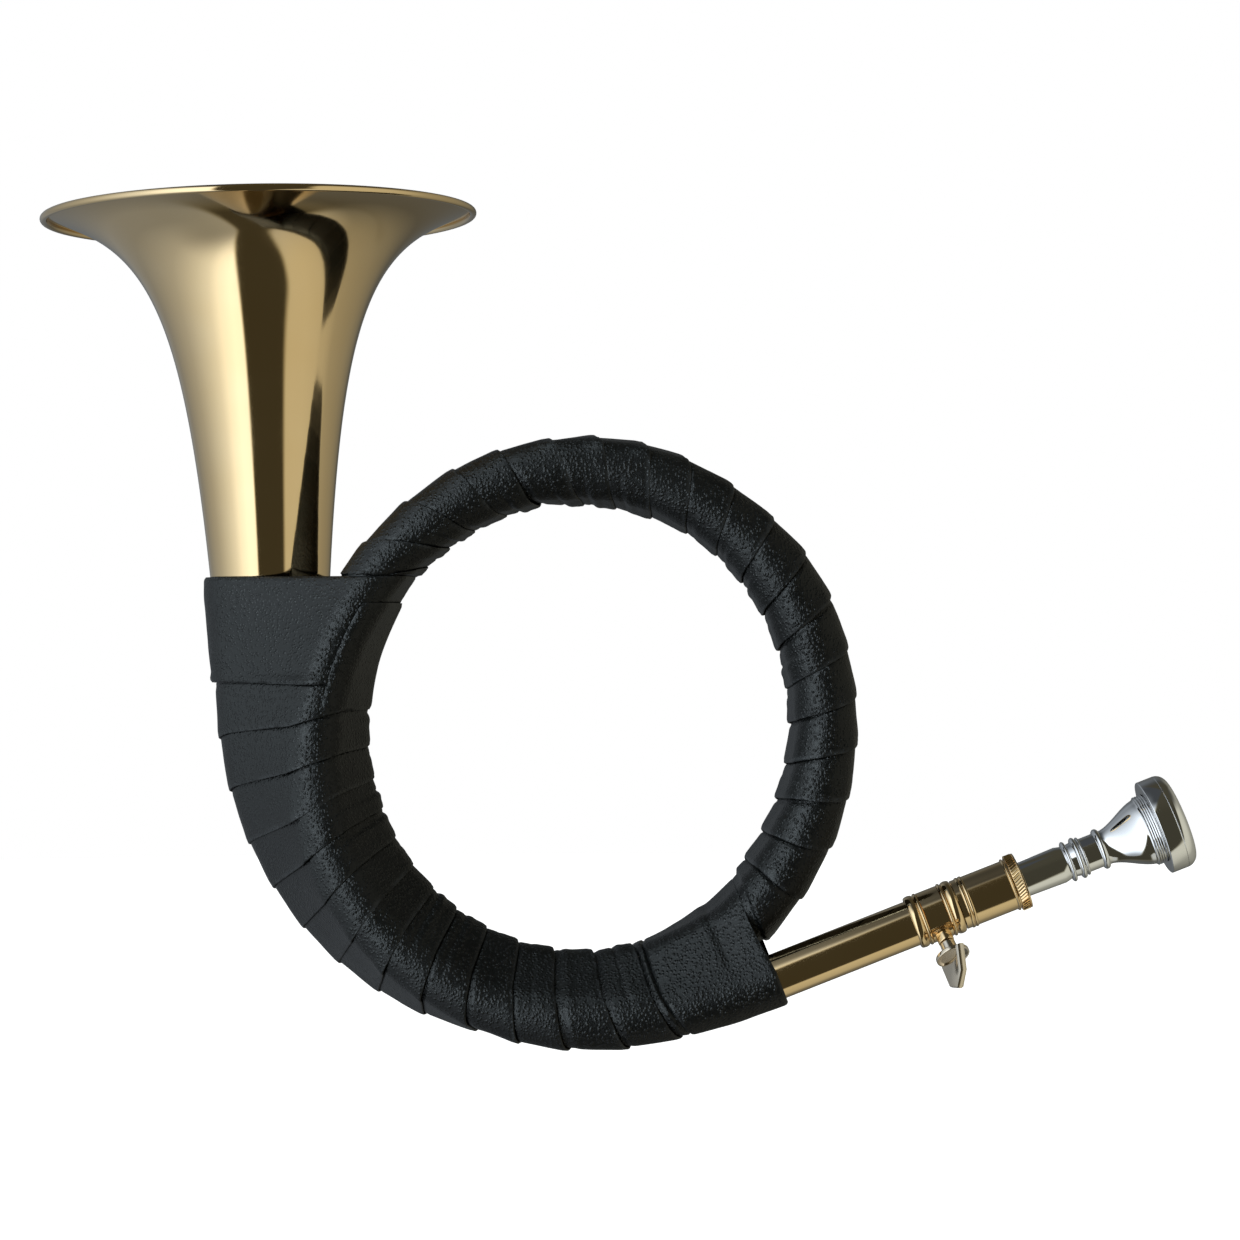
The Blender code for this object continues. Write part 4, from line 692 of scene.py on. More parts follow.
class Value:
    """A node's output, on which the usual operators add Math nodes."""

    def __init__(self, graph, socket):
        self.graph = graph
        self.socket = socket

    def math(self, operation, *others):
        return self.graph.math(operation, self, *others)

    def __add__(self, other):
        return self.math("ADD", other)

    def __sub__(self, other):
        return self.math("SUBTRACT", other)

    def __rsub__(self, other):
        return self.graph.math("SUBTRACT", other, self)

    def __mul__(self, other):
        return self.math("MULTIPLY", other)

    def __truediv__(self, other):
        return self.math("DIVIDE", other)

    def __rtruediv__(self, other):
        return self.graph.math("DIVIDE", other, self)

    def __pow__(self, other):
        return self.math("POWER", other)

    def __neg__(self):
        return self.math("MULTIPLY", -1.0)

    __radd__ = __add__
    __rmul__ = __mul__


class Graph:
    """A node tree that is emptied and then built node by node."""

    def __init__(self, tree):
        self.tree = tree
        tree.nodes.clear()

    def node(self, kind, settings=None, inputs=None, output=0):
        """Adds a node, sets it up, feeds its sockets, and gives one of its outputs."""
        made = self.tree.nodes.new(kind)
        for name, setting in (settings or {}).items():
            if name == "stops":
                self.set_stops(made.color_ramp, setting)
            else:
                setattr(made, name, setting)
        for key, value in (inputs or {}).items():
            if isinstance(value, Value):
                self.tree.links.new(value.socket, made.inputs[key])
            else:
                made.inputs[key].default_value = value
        return Value(self, made.outputs[output]) if made.outputs else None

    def set_stops(self, ramp, stops):
        """Sets a ramp's greys. Its first element is the first stop and its second the last."""
        ramp.interpolation = "LINEAR"
        ramp.elements[0].position, ramp.elements[1].position = stops[0][0], stops[-1][0]
        for place, _ in stops[1:-1]:
            ramp.elements.new(place)
        for element, (_, level) in zip(ramp.elements, stops):
            element.color = (level, level, level, 1.0)

    def math(self, operation, *values):
        return self.node("ShaderNodeMath", {"operation": operation}, dict(enumerate(values)))

    def blend(self, share, first, second):
        """A colour between two."""
        return self.node("ShaderNodeMix", {"data_type": "RGBA"}, {0: share, 6: first, 7: second}, 2)

    def ease(self, value, low, high, start=0.0, end=1.0):
        """The value's smooth way from start, at low, to end, at high."""
        inputs = {"Value": value, "From Min": low, "From Max": high, "To Min": start, "To Max": end}
        return self.node("ShaderNodeMapRange", {"interpolation_type": "SMOOTHSTEP"}, inputs)

    def object_place(self):
        return self.node("ShaderNodeTexCoord", output="Object")

    def noise(self, place, scale, detail=2.0, roughness=0.5):
        inputs = {"Vector": place, "Scale": scale, "Detail": detail, "Roughness": roughness}
        return self.node("ShaderNodeTexNoise", {}, inputs, "Fac")

    def scaled(self, place, scale):
        return self.node("ShaderNodeMapping", {}, {"Vector": place, "Scale": scale})

    def bump(self, height, distance, strength=1.0, normal=None):
        inputs = {"Height": height, "Distance": distance, "Strength": strength}
        if normal is not None:
            inputs["Normal"] = normal
        return self.node("ShaderNodeBump", {}, inputs)


def finish_of(name, build):
    """The finish of this name, built when it is first asked for."""
    found = bpy.data.materials.get(name)
    if found:
        return found
    made = bpy.data.materials.new(name)
    made.use_nodes = True
    graph = Graph(made.node_tree)
    shader = graph.node("ShaderNodeBsdfPrincipled", {}, build(graph))
    graph.node("ShaderNodeOutputMaterial", {}, {"Surface": shader})
    return made


def polished(graph, light, deep, roughness, marks):
    """Bright metal: a slow change of colour, fine polishing marks and a faint unevenness."""
    place = graph.object_place()
    cloud = graph.ease(graph.noise(place, 22.0, 3.0), 0.35, 0.70)
    rubbed = graph.noise(graph.scaled(place, (900.0, 900.0, 60.0)), 1.0, 2.0)
    smear = graph.ease(graph.noise(place, 60.0, 4.0), 0.45, 0.75)
    uneven = graph.noise(place, 16.0, 1.0)
    return {
        "Base Color": graph.blend(cloud * 0.55, light, deep),
        "Metallic": 1.0,
        "Roughness": roughness + marks * rubbed + marks * smear,
        "Normal": graph.bump(uneven, 0.0012, 0.35),
    }


def brass_finish(horn):
    def build(graph):
        inputs = polished(graph, horn.finishes.brass, horn.finishes.deep_brass, 0.055, 0.035)
        inputs["Coat Weight"] = 0.25
        inputs["Coat Roughness"] = 0.04
        return inputs

    return finish_of("lacquered_brass_polish", build)


def dull_brass_finish(horn):
    def build(graph):
        place = graph.object_place()
        stain = graph.ease(graph.noise(place, 70.0, 5.0, 0.6), 0.3, 0.7)
        spots = graph.ease(graph.noise(place, 420.0, 3.0), 0.55, 0.72)
        brown = tuple(0.55 * part for part in horn.finishes.dull_brass[:3]) + (1.0,)
        return {
            "Base Color": graph.blend(stain * 0.6 + spots * 0.3, horn.finishes.dull_brass, brown),
            "Metallic": 1.0,
            "Roughness": 0.26 + 0.16 * stain,
            "Normal": graph.bump(graph.noise(place, 900.0, 2.0), 0.00005, 0.4),
        }

    return finish_of("tarnished_brass", build)


def silver_finish(horn):
    def build(graph):
        grey = tuple(0.82 * part for part in horn.finishes.silver[:3]) + (1.0,)
        return polished(graph, horn.finishes.silver, grey, 0.045, 0.03)

    return finish_of("silver_plate_polish", build)


def nickel_finish(horn):
    def build(graph):
        inputs = polished(graph, horn.finishes.nickel, horn.finishes.brass, 0.13, 0.05)
        return inputs

    return finish_of("worn_nickel_plate", build)


def steel_finish(horn):
    def build(graph):
        place = graph.object_place()
        drawn = graph.noise(graph.scaled(place, (1500.0, 1500.0, 200.0)), 1.0, 3.0)
        dark = tuple(0.6 * part for part in horn.finishes.steel[:3]) + (1.0,)
        return {
            "Base Color": graph.blend(drawn, horn.finishes.steel, dark),
            "Metallic": 1.0,
            "Roughness": 0.28 + 0.18 * drawn,
            "Normal": graph.bump(drawn, 0.00003, 0.5),
        }

    return finish_of("drawn_steel_wire", build)


def hide_finish(horn):
    """Pebbled leather: rounded pebbles, finer grain between them and lighter edges, partly rubbed wear and partly a
    painted highlight.
    """

    def build(graph):
        place = graph.object_place()
        bent = graph.node("ShaderNodeTexNoise", {}, {"Vector": place, "Scale": 0.7 / horn.leather.grain}, "Color")
        bent = graph.node("ShaderNodeMix", {"data_type": "VECTOR"}, {0: 0.0004, 4: place, 5: bent}, 1)
        cells = {"Vector": bent, "Scale": 1 / horn.leather.grain, "Randomness": 1.0, "Smoothness": 0.25}
        pebbles = graph.node("ShaderNodeTexVoronoi", {"feature": "SMOOTH_F1"}, cells, "Distance")
        domes = 1 - graph.ease(pebbles, 0.0, 0.58)
        fine = graph.noise(place, 2.6 / horn.leather.grain, 2.0)
        cloud = graph.ease(graph.noise(place, 55.0, 3.0), 0.35, 0.70)
        wear = graph.node("ShaderNodeAttribute", {"attribute_name": "wear"}, {}, "Fac")
        # Edges lighter in colour: partly rubbed wear, partly a painted highlight along the laps' free edges.
        rubbed = wear * graph.ease(graph.noise(place, 260.0, 3.0), 0.30, 0.62)
        tone = rubbed * 0.8 + domes * 0.08 + cloud * 0.08
        return {
            "Base Color": graph.blend(tone, horn.finishes.hide, horn.finishes.hide_edge),
            "Roughness": 0.33 + 0.05 * cloud - 0.10 * domes,
            "Specular IOR Level": 0.22,
            "Normal": graph.bump(domes + 0.5 * fine, 0.00019, 1.0),
        }

    return finish_of("pebbled_black_hide", build)


def pipe_matrix(route, station):
    """A turned piece's place on the mouthpipe's axis, its own +Z pointing to the mouthpiece."""
    place = Vector(route.lead_foot + station * route.lead_way)
    return Matrix.Translation(place) @ Vector(route.lead_way).to_track_quat("Z", "Y").to_matrix().to_4x4()


def stations(horn):
    """Where each piece on the mouthpipe starts, from the coil's foot."""
    pipe, cup = horn.mouthpipe, horn.mouthpiece
    place = {"clamp": pipe.length - pipe.clamp_length + pipe.clamp_lead}
    place["receiver"] = place["clamp"] + pipe.clamp_length + FIT_GAP
    place["receiver_end"] = place["receiver"] + pipe.receiver_length
    place["shank"] = place["receiver_end"] - cup.insertion
    place["cup"] = place["shank"] + cup.shank_length + cup.stem_length
    place["spigot"] = place["cup"] + cup.cup_length
    place["rim"] = place["spigot"] + cup.shoulder
    return place


class HORN_OT_bell(bpy.types.Operator):
    """Spins the flared bell from its formula and rolls its rim"""

    bl_idname = "horn.make_bell"
    bl_label = "Make Bell"

    def execute(self, context):
        horn = context.scene.horn
        route = Route(horn)
        bell = horn.bell
        lip = bell.bead * 0.2
        span = bell.height - bell.joint_height - FIT_GAP / 2
        flared = self.flared_skin(bell, lip, span)
        roll = bell.bead / 2
        turns = np.radians(np.arange(0, 360, 18))
        ring = [(bell.diameter / 2 - roll + roll * math.cos(turn), -roll - roll * math.sin(turn)) for turn in turns]
        bead_mesh = turned("bell_bead", ring, Matrix.Identity(4), BELL_SEGMENTS)
        mesh = joined("horn_bell", [flared, bead_mesh])
        mouth = route.flat(np.array(BELL_WIND)) + bell.height * route.bell_way
        place = Matrix.Translation((mouth[0], route.bell_depth, mouth[2]))
        mesh.transform(place @ Matrix.Rotation(-bell.lean, 4, "Y"))
        shade(mesh)
        piece("horn_bell", mesh, brass_finish(horn), "horn", ["bell"])
        return {"FINISHED"}

    def flared_skin(self, bell, lip, span):
        """The flare as a node tree: a plain tube whose rings move to the formula's depth and radius."""
        tree = bpy.data.node_groups.new("bell_flare", "GeometryNodeTree")
        sizes = {
            "Mouth Radius": bell.diameter / 2,
            "Flare Shift": bell.flare_shift,
            "Flare Power": bell.flare_power,
            "Start Depth": lip,
            "Span": span,
        }
        graph = Graph(tree)
        names = group_inputs(graph, sizes)
        plain = {"Vertices": BELL_SEGMENTS, "Side Segments": BELL_RINGS, "Radius": 1.0, "Depth": 1.0}
        skin = graph.node("GeometryNodeMeshCylinder", {"fill_type": "NONE"}, plain)
        spot = graph.node("GeometryNodeInputPosition")
        across = graph.node("ShaderNodeSeparateXYZ", {}, {0: spot}, "X")
        deep = graph.node("ShaderNodeSeparateXYZ", {}, {0: spot}, "Y")
        high = graph.node("ShaderNodeSeparateXYZ", {}, {0: spot}, "Z")
        shift, start = names["Flare Shift"], names["Start Depth"]
        ratio = (names["Span"] + shift) / (start + shift)
        depth = (start + shift) * ratio ** (0.5 - high) - shift
        radius = names["Mouth Radius"] * ((depth + shift) / shift) ** -names["Flare Power"]
        moved = graph.node("ShaderNodeCombineXYZ", {}, {0: across * radius, 1: deep * radius, 2: -depth})
        flared = graph.node("GeometryNodeSetPosition", {}, {"Geometry": skin, "Position": moved})
        close_tree(graph, flared, brass_finish(bpy.context.scene.horn))
        host = bpy.data.objects.new("bell_flare", bpy.data.meshes.new("bell_flare"))
        bpy.context.scene.collection.objects.link(host)
        run_tree(host, tree, sizes)
        wall = host.modifiers.new("wall", "SOLIDIFY")
        wall.thickness = bell.wall
        wall.offset = -1.0
        wall.use_even_offset = True
        return as_plain_mesh(host)


def group_inputs(graph, sizes):
    """Named inputs of a node tree, one for each size."""
    graph.tree.interface.new_socket("Geometry", in_out="OUTPUT", socket_type="NodeSocketGeometry")
    graph.tree.interface.new_socket("Geometry", in_out="INPUT", socket_type="NodeSocketGeometry")
    for name, size in sizes.items():
        kind = "NodeSocketInt" if isinstance(size, int) else "NodeSocketFloat"
        socket = graph.tree.interface.new_socket(name, in_out="INPUT", socket_type=kind)
        socket.default_value = size
    source = graph.tree.nodes.new("NodeGroupInput")
    return {name: Value(graph, source.outputs[name]) for name in [*sizes, "Geometry"]}


def close_tree(graph, geometry, finish):
    """Ends a node tree: instances become real, and they take the finish."""
    real = graph.node("GeometryNodeRealizeInstances", {}, {"Geometry": geometry})
    painted = graph.node("GeometryNodeSetMaterial", {}, {"Geometry": real, "Material": finish})
    graph.node("NodeGroupOutput", {}, {0: painted})


def run_tree(host, tree, sizes):
    """Puts the tree on an object as a modifier, its inputs set by their identifiers."""
    modifier = host.modifiers.new(tree.name, "NODES")
    modifier.node_group = tree
    for item in tree.interface.items_tree:
        if item.in_out == "INPUT" and item.name in sizes:
            modifier[item.identifier] = sizes[item.name]
    return modifier


def as_plain_mesh(host):
    """The object's evaluated shape as a plain mesh. The object and its modifiers are removed."""
    graph = bpy.context.evaluated_depsgraph_get()
    mesh = bpy.data.meshes.new_from_object(host.evaluated_get(graph))
    host.modifiers.clear()
    bpy.data.objects.remove(host)
    return mesh


class HORN_OT_branch(bpy.types.Operator):
    """Makes the smooth tube that is seen through the bell's throat"""

    bl_idname = "horn.make_branch"
    bl_label = "Make Bell Branch"

    def execute(self, context):
        horn = context.scene.horn
        route = Route(horn)
        butt = math.degrees(FIT_GAP / 2 / horn.coil.half_width)
        start, end = route.joints[2] + butt, route.joints[3] - FIT_GAP * 500
        points, radii = route.between(start, end)
        mesh = hollow_tube("horn_branch", points, radii, horn.coil.wall)
        piece("horn_branch", mesh, brass_finish(horn), "horn", ["bell_branch"])
        return {"FINISHED"}


class HORN_OT_mouthpipe(bpy.types.Operator):
    """Makes the straight mouthpipe, the beaded sleeve on its end and the screw's boss"""

    bl_idname = "horn.make_mouthpipe"
    bl_label = "Make Mouthpipe"

    def execute(self, context):
        horn = context.scene.horn
        route = Route(horn)
        pipe = horn.mouthpipe
        butt = math.degrees(FIT_GAP / 2 / horn.coil.half_width)
        points, radii = route.between(float(route.lead_station(pipe.length)), route.joints[0] - butt, 2.0)
        mesh = hollow_tube("horn_leadpipe", points, radii, horn.coil.wall)
        piece("horn_leadpipe", mesh, brass_finish(horn), "horn", ["leadpipe"])
        profile = self.sleeve_profile(pipe)
        mesh = turned("horn_clamp", profile, pipe_matrix(route, stations(horn)["clamp"]))
        piece("horn_clamp", mesh, brass_finish(horn), "horn", ["clamp_sleeve"])
        self.make_boss(horn)
        return {"FINISHED"}

    def sleeve_profile(self, pipe):
        wide, fine, space = 0.0026, 0.0011, 0.0001
        radius, bore = pipe.clamp_diameter / 2, pipe.diameter / 2 + FIT_GAP
        base = bore + FIT_GAP
        top = pipe.clamp_length
        inner_crest, outer_crest = pipe.inner_bead / 2, pipe.outer_bead / 2
        profile = bead(top, top - wide, base, outer_crest)
        profile += bead(top - wide - space, top - wide - space - fine, base, outer_crest)
        profile += [(radius, top - wide - fine - 2 * space), (radius, wide + fine + 2 * space)]
        profile += bead(wide + space + fine, wide + space, base, inner_crest)
        profile += bead(wide, 0.0, base, inner_crest)
        return profile + [(bore, 0.0), (bore, top)]

    def make_boss(self, horn):
        screw, pipe = horn.screw, horn.mouthpipe
        seat = pipe.clamp_diameter / 2
        top, low = seat + screw.boss_height, seat * 0.85
        radius, hole = screw.boss / 2, screw.stem / 2 + FIT_GAP
        profile = eased([(radius, top), (radius, low), (hole, low), (hole, top)], 0.0004, 4)
        mesh = turned("horn_boss", profile, screw_matrix(horn), 48)
        piece("horn_boss", mesh, brass_finish(horn), "horn", ["screw_boss"])


def screw_matrix(horn):
    """The screw's axis, from the mouthpipe's axis outwards, +Z pointing out along it."""
    joint = JOINTS["thumb_screw_turn"]
    way = Vector(joint["axis"])
    place = Vector(joint["pos_m"]) - way * horn.mouthpipe.clamp_diameter / 2
    lead = Vector(JOINTS["tuning_slide"]["axis"])
    side = way.cross(lead).normalized()
    turn = Matrix((-lead, -side, way)).transposed().to_4x4()
    return Matrix.Translation(place) @ turn


class HORN_OT_receiver(bpy.types.Operator):
    """Makes the mouthpiece's socket, and the knurled ring on its end"""

    bl_idname = "horn.make_receiver"
    bl_label = "Make Receiver"

    def execute(self, context):
        horn = context.scene.horn
        route = Route(horn)
        pipe = horn.mouthpipe
        place = stations(horn)
        mesh = turned("horn_receiver", self.socket_profile(horn), pipe_matrix(route, place["receiver"]))
        piece("horn_receiver", mesh, brass_finish(horn), "tuning_slide", ["mouthpiece_receiver"])
        mesh = self.knurled(horn)
        mesh.transform(pipe_matrix(route, place["receiver_end"] - pipe.knurl_length))
        piece("horn_knurled_ring", mesh, brass_finish(horn), "tuning_slide", ["knurled_ring"])
        return {"FINISHED"}

    def socket_profile(self, horn):
        pipe, cup = horn.mouthpipe, horn.mouthpiece
        radius, top = pipe.receiver_diameter / 2, pipe.receiver_length
        knurl_low = top - pipe.knurl_length - FIT_GAP
        crest, ring, first = radius + 0.0003, 0.00095, 0.0014
        profile = [(radius, top), (radius, knurl_low)]
        profile += bead(knurl_low - 0.0001, knurl_low - 0.0009, radius, crest + 0.0002)
        profile += bead(first + 2 * ring + 0.0001, first + ring + 0.0001, radius, crest)
        profile += bead(first + ring, first, radius, crest)
        profile += [(radius, 0.0), (0.00595, 0.0), (0.00595, 0.0063)]
        taper = cup.shank_diameter / 2 - 0.0002
        return profile + [(taper, 0.0063), (taper + 0.0003, top - 0.0004), (taper + 0.0007, top)]

    def knurled(self, horn):
        """The ring's body, with slanted teeth set round it by a node tree."""
        pipe = horn.mouthpipe
        bore, crest = pipe.receiver_diameter / 2 + FIT_GAP, pipe.knurl_diameter / 2
        lip, depth = 0.0005, 0.0002
        top = pipe.knurl_length
        profile = [(crest, top), (crest, top - lip), (crest - depth, top - lip), (crest - depth, 0.0)]
        body = turned("knurled_body", eased([*profile, (bore, 0.0), (bore, top)], 0.0001), Matrix.Identity(4))
        sizes = {
            "Teeth": int(pipe.knurl_teeth),
            "Ring Radius": crest - depth,
            "Tooth Radius": 0.00031,
            "Tooth Length": (top - lip) * 0.97,
            "Slant": pipe.knurl_slant,
            "Middle": (top - lip) / 2,
        }
        tree = bpy.data.node_groups.new("knurl", "GeometryNodeTree")
        graph = Graph(tree)
        names = group_inputs(graph, sizes)
        ring = graph.node("GeometryNodeMeshCircle", {}, {"Vertices": names["Teeth"], "Radius": names["Ring Radius"]})
        lifted = graph.node("ShaderNodeCombineXYZ", {}, {2: names["Middle"]})
        ring = graph.node("GeometryNodeTransform", {}, {"Geometry": ring, "Translation": lifted})
        shape = {"Vertices": 5, "Radius": names["Tooth Radius"], "Depth": names["Tooth Length"]}
        tooth = graph.node("GeometryNodeMeshCylinder", {}, shape)
        turn = graph.node("GeometryNodeInputIndex") * (2 * math.pi) / names["Teeth"]
        lean = graph.node("ShaderNodeCombineXYZ", {}, {0: names["Slant"], 2: turn})
        spin = graph.node("FunctionNodeEulerToRotation", {}, {0: lean})
        teeth = graph.node("GeometryNodeInstanceOnPoints", {}, {"Points": ring, "Instance": tooth, "Rotation": spin})
        both = self.join(graph, [names["Geometry"], teeth])
        close_tree(graph, both, brass_finish(horn))
        host = bpy.data.objects.new("knurled_body", body)
        bpy.context.scene.collection.objects.link(host)
        run_tree(host, tree, sizes)
        mesh = as_plain_mesh(host)
        shade(mesh, 40)
        return mesh

    def join(self, graph, parts):
        made = graph.tree.nodes.new("GeometryNodeJoinGeometry")
        for part in parts:
            graph.tree.links.new(part.socket, made.inputs[0])
        return Value(graph, made.outputs[0])


class HORN_OT_thumb_screw(bpy.types.Operator):
    """Makes the thumb screw: its stem and collar, the dished disc and the oval wing"""

    bl_idname = "horn.make_thumb_screw"
    bl_label = "Make Thumb Screw"

    def execute(self, context):
        horn = context.scene.horn
        screw = horn.screw
        low = horn.mouthpipe.clamp_diameter / 2 + screw.boss_height + FIT_GAP
        disc_low = low + screw.collar_height
        disc_high = disc_low + screw.disc_thickness
        stem, collar, disc = screw.stem / 2, screw.collar / 2, screw.disc / 2
        start = 0.00595
        dish = disc_high - 0.0004
        profile = [
            (0.0, dish), (disc * 0.75, dish), (disc * 0.88, disc_high), (disc, disc_high), (disc, disc_low),
            (collar, disc_low - 0.0002), (collar, low), (stem, low), (stem, start), (0.0, start),
        ]
        body = turned("screw_body", eased(profile, 0.0003, 4), Matrix.Identity(4), 72)
        wing = self.wing_mesh(screw)
        wing.transform(Matrix.Translation((0, 0, (disc_low + disc_high) / 2)))
        mesh = joined("horn_thumb_screw", [body, wing])
        mesh.transform(screw_matrix(horn))
        shade(mesh)
        piece("horn_thumb_screw", mesh, nickel_finish(horn), "thumb_screw", ["thumb_screw"])
        return {"FINISHED"}

    def wing_mesh(self, screw):
        """Half an eight-sided plate with bevelled edges, its tip leaning sideways."""
        mesh = bpy.data.meshes.new("wing")
        work = bmesh.new()
        bmesh.ops.create_cone(work, cap_ends=True, segments=8, radius1=0.52, radius2=0.52, depth=1.0)
        bmesh.ops.scale(work, vec=(screw.wing_span, screw.wing_height, screw.wing_thickness), verts=work.verts)
        bmesh.ops.rotate(work, verts=work.verts, matrix=Matrix.Rotation(math.pi / 2, 3, "X"))
        rims = [edge for edge in work.edges if len({round(vert.co.y, 6) for vert in edge.verts}) == 1]
        bmesh.ops.bevel(work, geom=rims, offset=screw.wing_thickness * 0.42, segments=2, affect="EDGES", profile=0.5)
        parts = [*work.verts, *work.edges, *work.faces]
        bmesh.ops.bisect_plane(work, geom=parts, plane_no=(0, 0, 1), clear_inner=True)
        bmesh.ops.holes_fill(work, edges=[edge for edge in work.edges if edge.is_boundary])
        for vert in work.verts:
            vert.co.x += screw.wing_lean * vert.co.z
        bmesh.ops.rotate(work, verts=work.verts, matrix=Matrix.Rotation(screw.wing_turn, 3, "Z"))
        work.to_mesh(mesh)
        work.free()
        face_out(mesh)
        return mesh


class HORN_OT_mouthpiece(bpy.types.Operator):
    """Turns the mouthpiece: shank, beaded stem, cup and the thread that takes the rim"""

    bl_idname = "horn.make_mouthpiece"
    bl_label = "Make Mouthpiece"

    def execute(self, context):
        horn = context.scene.horn
        route = Route(horn)
        place = stations(horn)
        body = turned("mouthpiece_body", self.profile(horn, place), Matrix.Identity(4), 128)
        mesh = self.threaded(horn, body, place["spigot"] - place["shank"])
        mesh.transform(pipe_matrix(route, place["shank"]))
        piece("horn_mouthpiece", mesh, silver_finish(horn), "mouthpiece", ["mouthpiece"])
        return {"FINISHED"}

    def profile(self, horn, place):
        cup = horn.mouthpiece
        low = place["cup"] - place["shank"]
        high = low + cup.cup_length
        top = high + 2 * cup.shoulder
        barrel, ring, band = cup.barrel_diameter / 2, cup.ring_diameter / 2, cup.bead_diameter / 2
        spigot, wide = cup.spigot_diameter / 2, cup.cup_diameter / 2
        profile = [(spigot, top), (spigot, high)]
        for share in np.linspace(1, 0, 28):
            grown = 0.35 * share + 0.65 * float(smooth(share))
            step = 0.0002 if share == 1 else 0.0
            profile.append((barrel + (wide - barrel) * grown, low + share * cup.cup_length - step))
        barrel_high = low - 0.0024
        barrel_low = barrel_high - 0.004
        profile += bead(low - 0.0005, barrel_high, barrel, ring)
        profile += [(barrel, barrel_low)]
        profile += bead(barrel_low - 0.0001, barrel_low - 0.0010, barrel, band - 0.0004)
        profile += bead(barrel_low - 0.0011, barrel_low - 0.0027, barrel, band)
        profile += bead(barrel_low - 0.0041, barrel_low - 0.0055, barrel - 0.0002, ring)
        tip = cup.tip_diameter / 2
        profile += [(cup.shank_diameter / 2, cup.shank_length), (tip, 0.0003), (tip - 0.0003, 0.0), (0.0034, 0.0)]
        throat = cup.throat / 2
        profile += [(throat, low - 0.004), (throat, low + 0.0005)]
        for share in np.linspace(0.04, 1, 24):
            bore = throat + (cup.cup_bore / 2 - throat) * share**0.7
            profile.append((bore, low + 0.0005 + (top - low - 0.0005) * share))
        return profile

    def threaded(self, horn, body, start):
        """The cup with the thread's ridges set along its spigot by a node tree."""
        cup = horn.mouthpiece
        sizes = {
            "Ridges": 4,
            "Ridge Radius": cup.spigot_diameter / 2 + 0.00012,
            "Ridge Thickness": 0.00026,
            "First Ridge": start + 0.00045,
            "Pitch": 0.00066,
        }
        tree = bpy.data.node_groups.new("thread", "GeometryNodeTree")
        graph = Graph(tree)
        names = group_inputs(graph, sizes)
        first = graph.node("ShaderNodeCombineXYZ", {}, {2: names["First Ridge"]})
        pitch = graph.node("ShaderNodeCombineXYZ", {}, {2: names["Pitch"]})
        row = graph.node("GeometryNodeMeshLine", {}, {"Count": names["Ridges"], "Start Location": first, "Offset": pitch})
        ring = graph.node("GeometryNodeCurvePrimitiveCircle", {}, {"Resolution": 128, "Radius": names["Ridge Radius"]})
        wire = graph.node("GeometryNodeCurvePrimitiveCircle", {}, {"Resolution": 10, "Radius": names["Ridge Thickness"]})
        ridge = graph.node("GeometryNodeCurveToMesh", {}, {"Curve": ring, "Profile Curve": wire})
        ridges = graph.node("GeometryNodeInstanceOnPoints", {}, {"Points": row, "Instance": ridge})
        both = HORN_OT_receiver.join(self, graph, [names["Geometry"], ridges])
        close_tree(graph, both, silver_finish(horn))
        host = bpy.data.objects.new("mouthpiece_body", body)
        bpy.context.scene.collection.objects.link(host)
        run_tree(host, tree, sizes)
        mesh = as_plain_mesh(host)
        shade(mesh)
        return mesh


class HORN_OT_mouthpiece_rim(bpy.types.Operator):
    """Turns the screw rim: its flat back, straight band and rounded lip"""

    bl_idname = "horn.make_mouthpiece_rim"
    bl_label = "Make Mouthpiece Rim"

    def execute(self, context):
        horn = context.scene.horn
        cup = horn.mouthpiece
        outer, crest = cup.rim_diameter / 2, cup.rim_crest / 2
        socket, ledge, hole = cup.spigot_diameter / 2 + FIT_GAP, cup.shoulder + FIT_GAP, cup.cup_bore / 2
        profile = []
        for turn in np.radians(np.linspace(90, 0, 16)):
            profile.append((
                crest + (outer - crest) * math.cos(turn),
                cup.rim_band + (cup.rim_length - cup.rim_band) * math.sin(turn),
            ))
        back = [(outer, 0.0), (socket, 0.0), (socket, ledge)]
        profile += eased([profile[-1], *back, (hole, ledge)], 0.0003, 4)[1:-1]
        for turn in np.radians(np.linspace(0, 84, 14)):
            share = 0.45 + 0.55 * math.sin(turn)
            profile.append((crest - (crest - hole) * math.cos(turn), ledge + (cup.rim_length - ledge) * share))
        matrix = pipe_matrix(Route(horn), stations(horn)["rim"])
        mesh = turned("horn_mouthpiece_rim", profile, matrix, 128)
        piece("horn_mouthpiece_rim", mesh, silver_finish(horn), "mouthpiece_rim", ["mouthpiece_rim"])
        return {"FINISHED"}


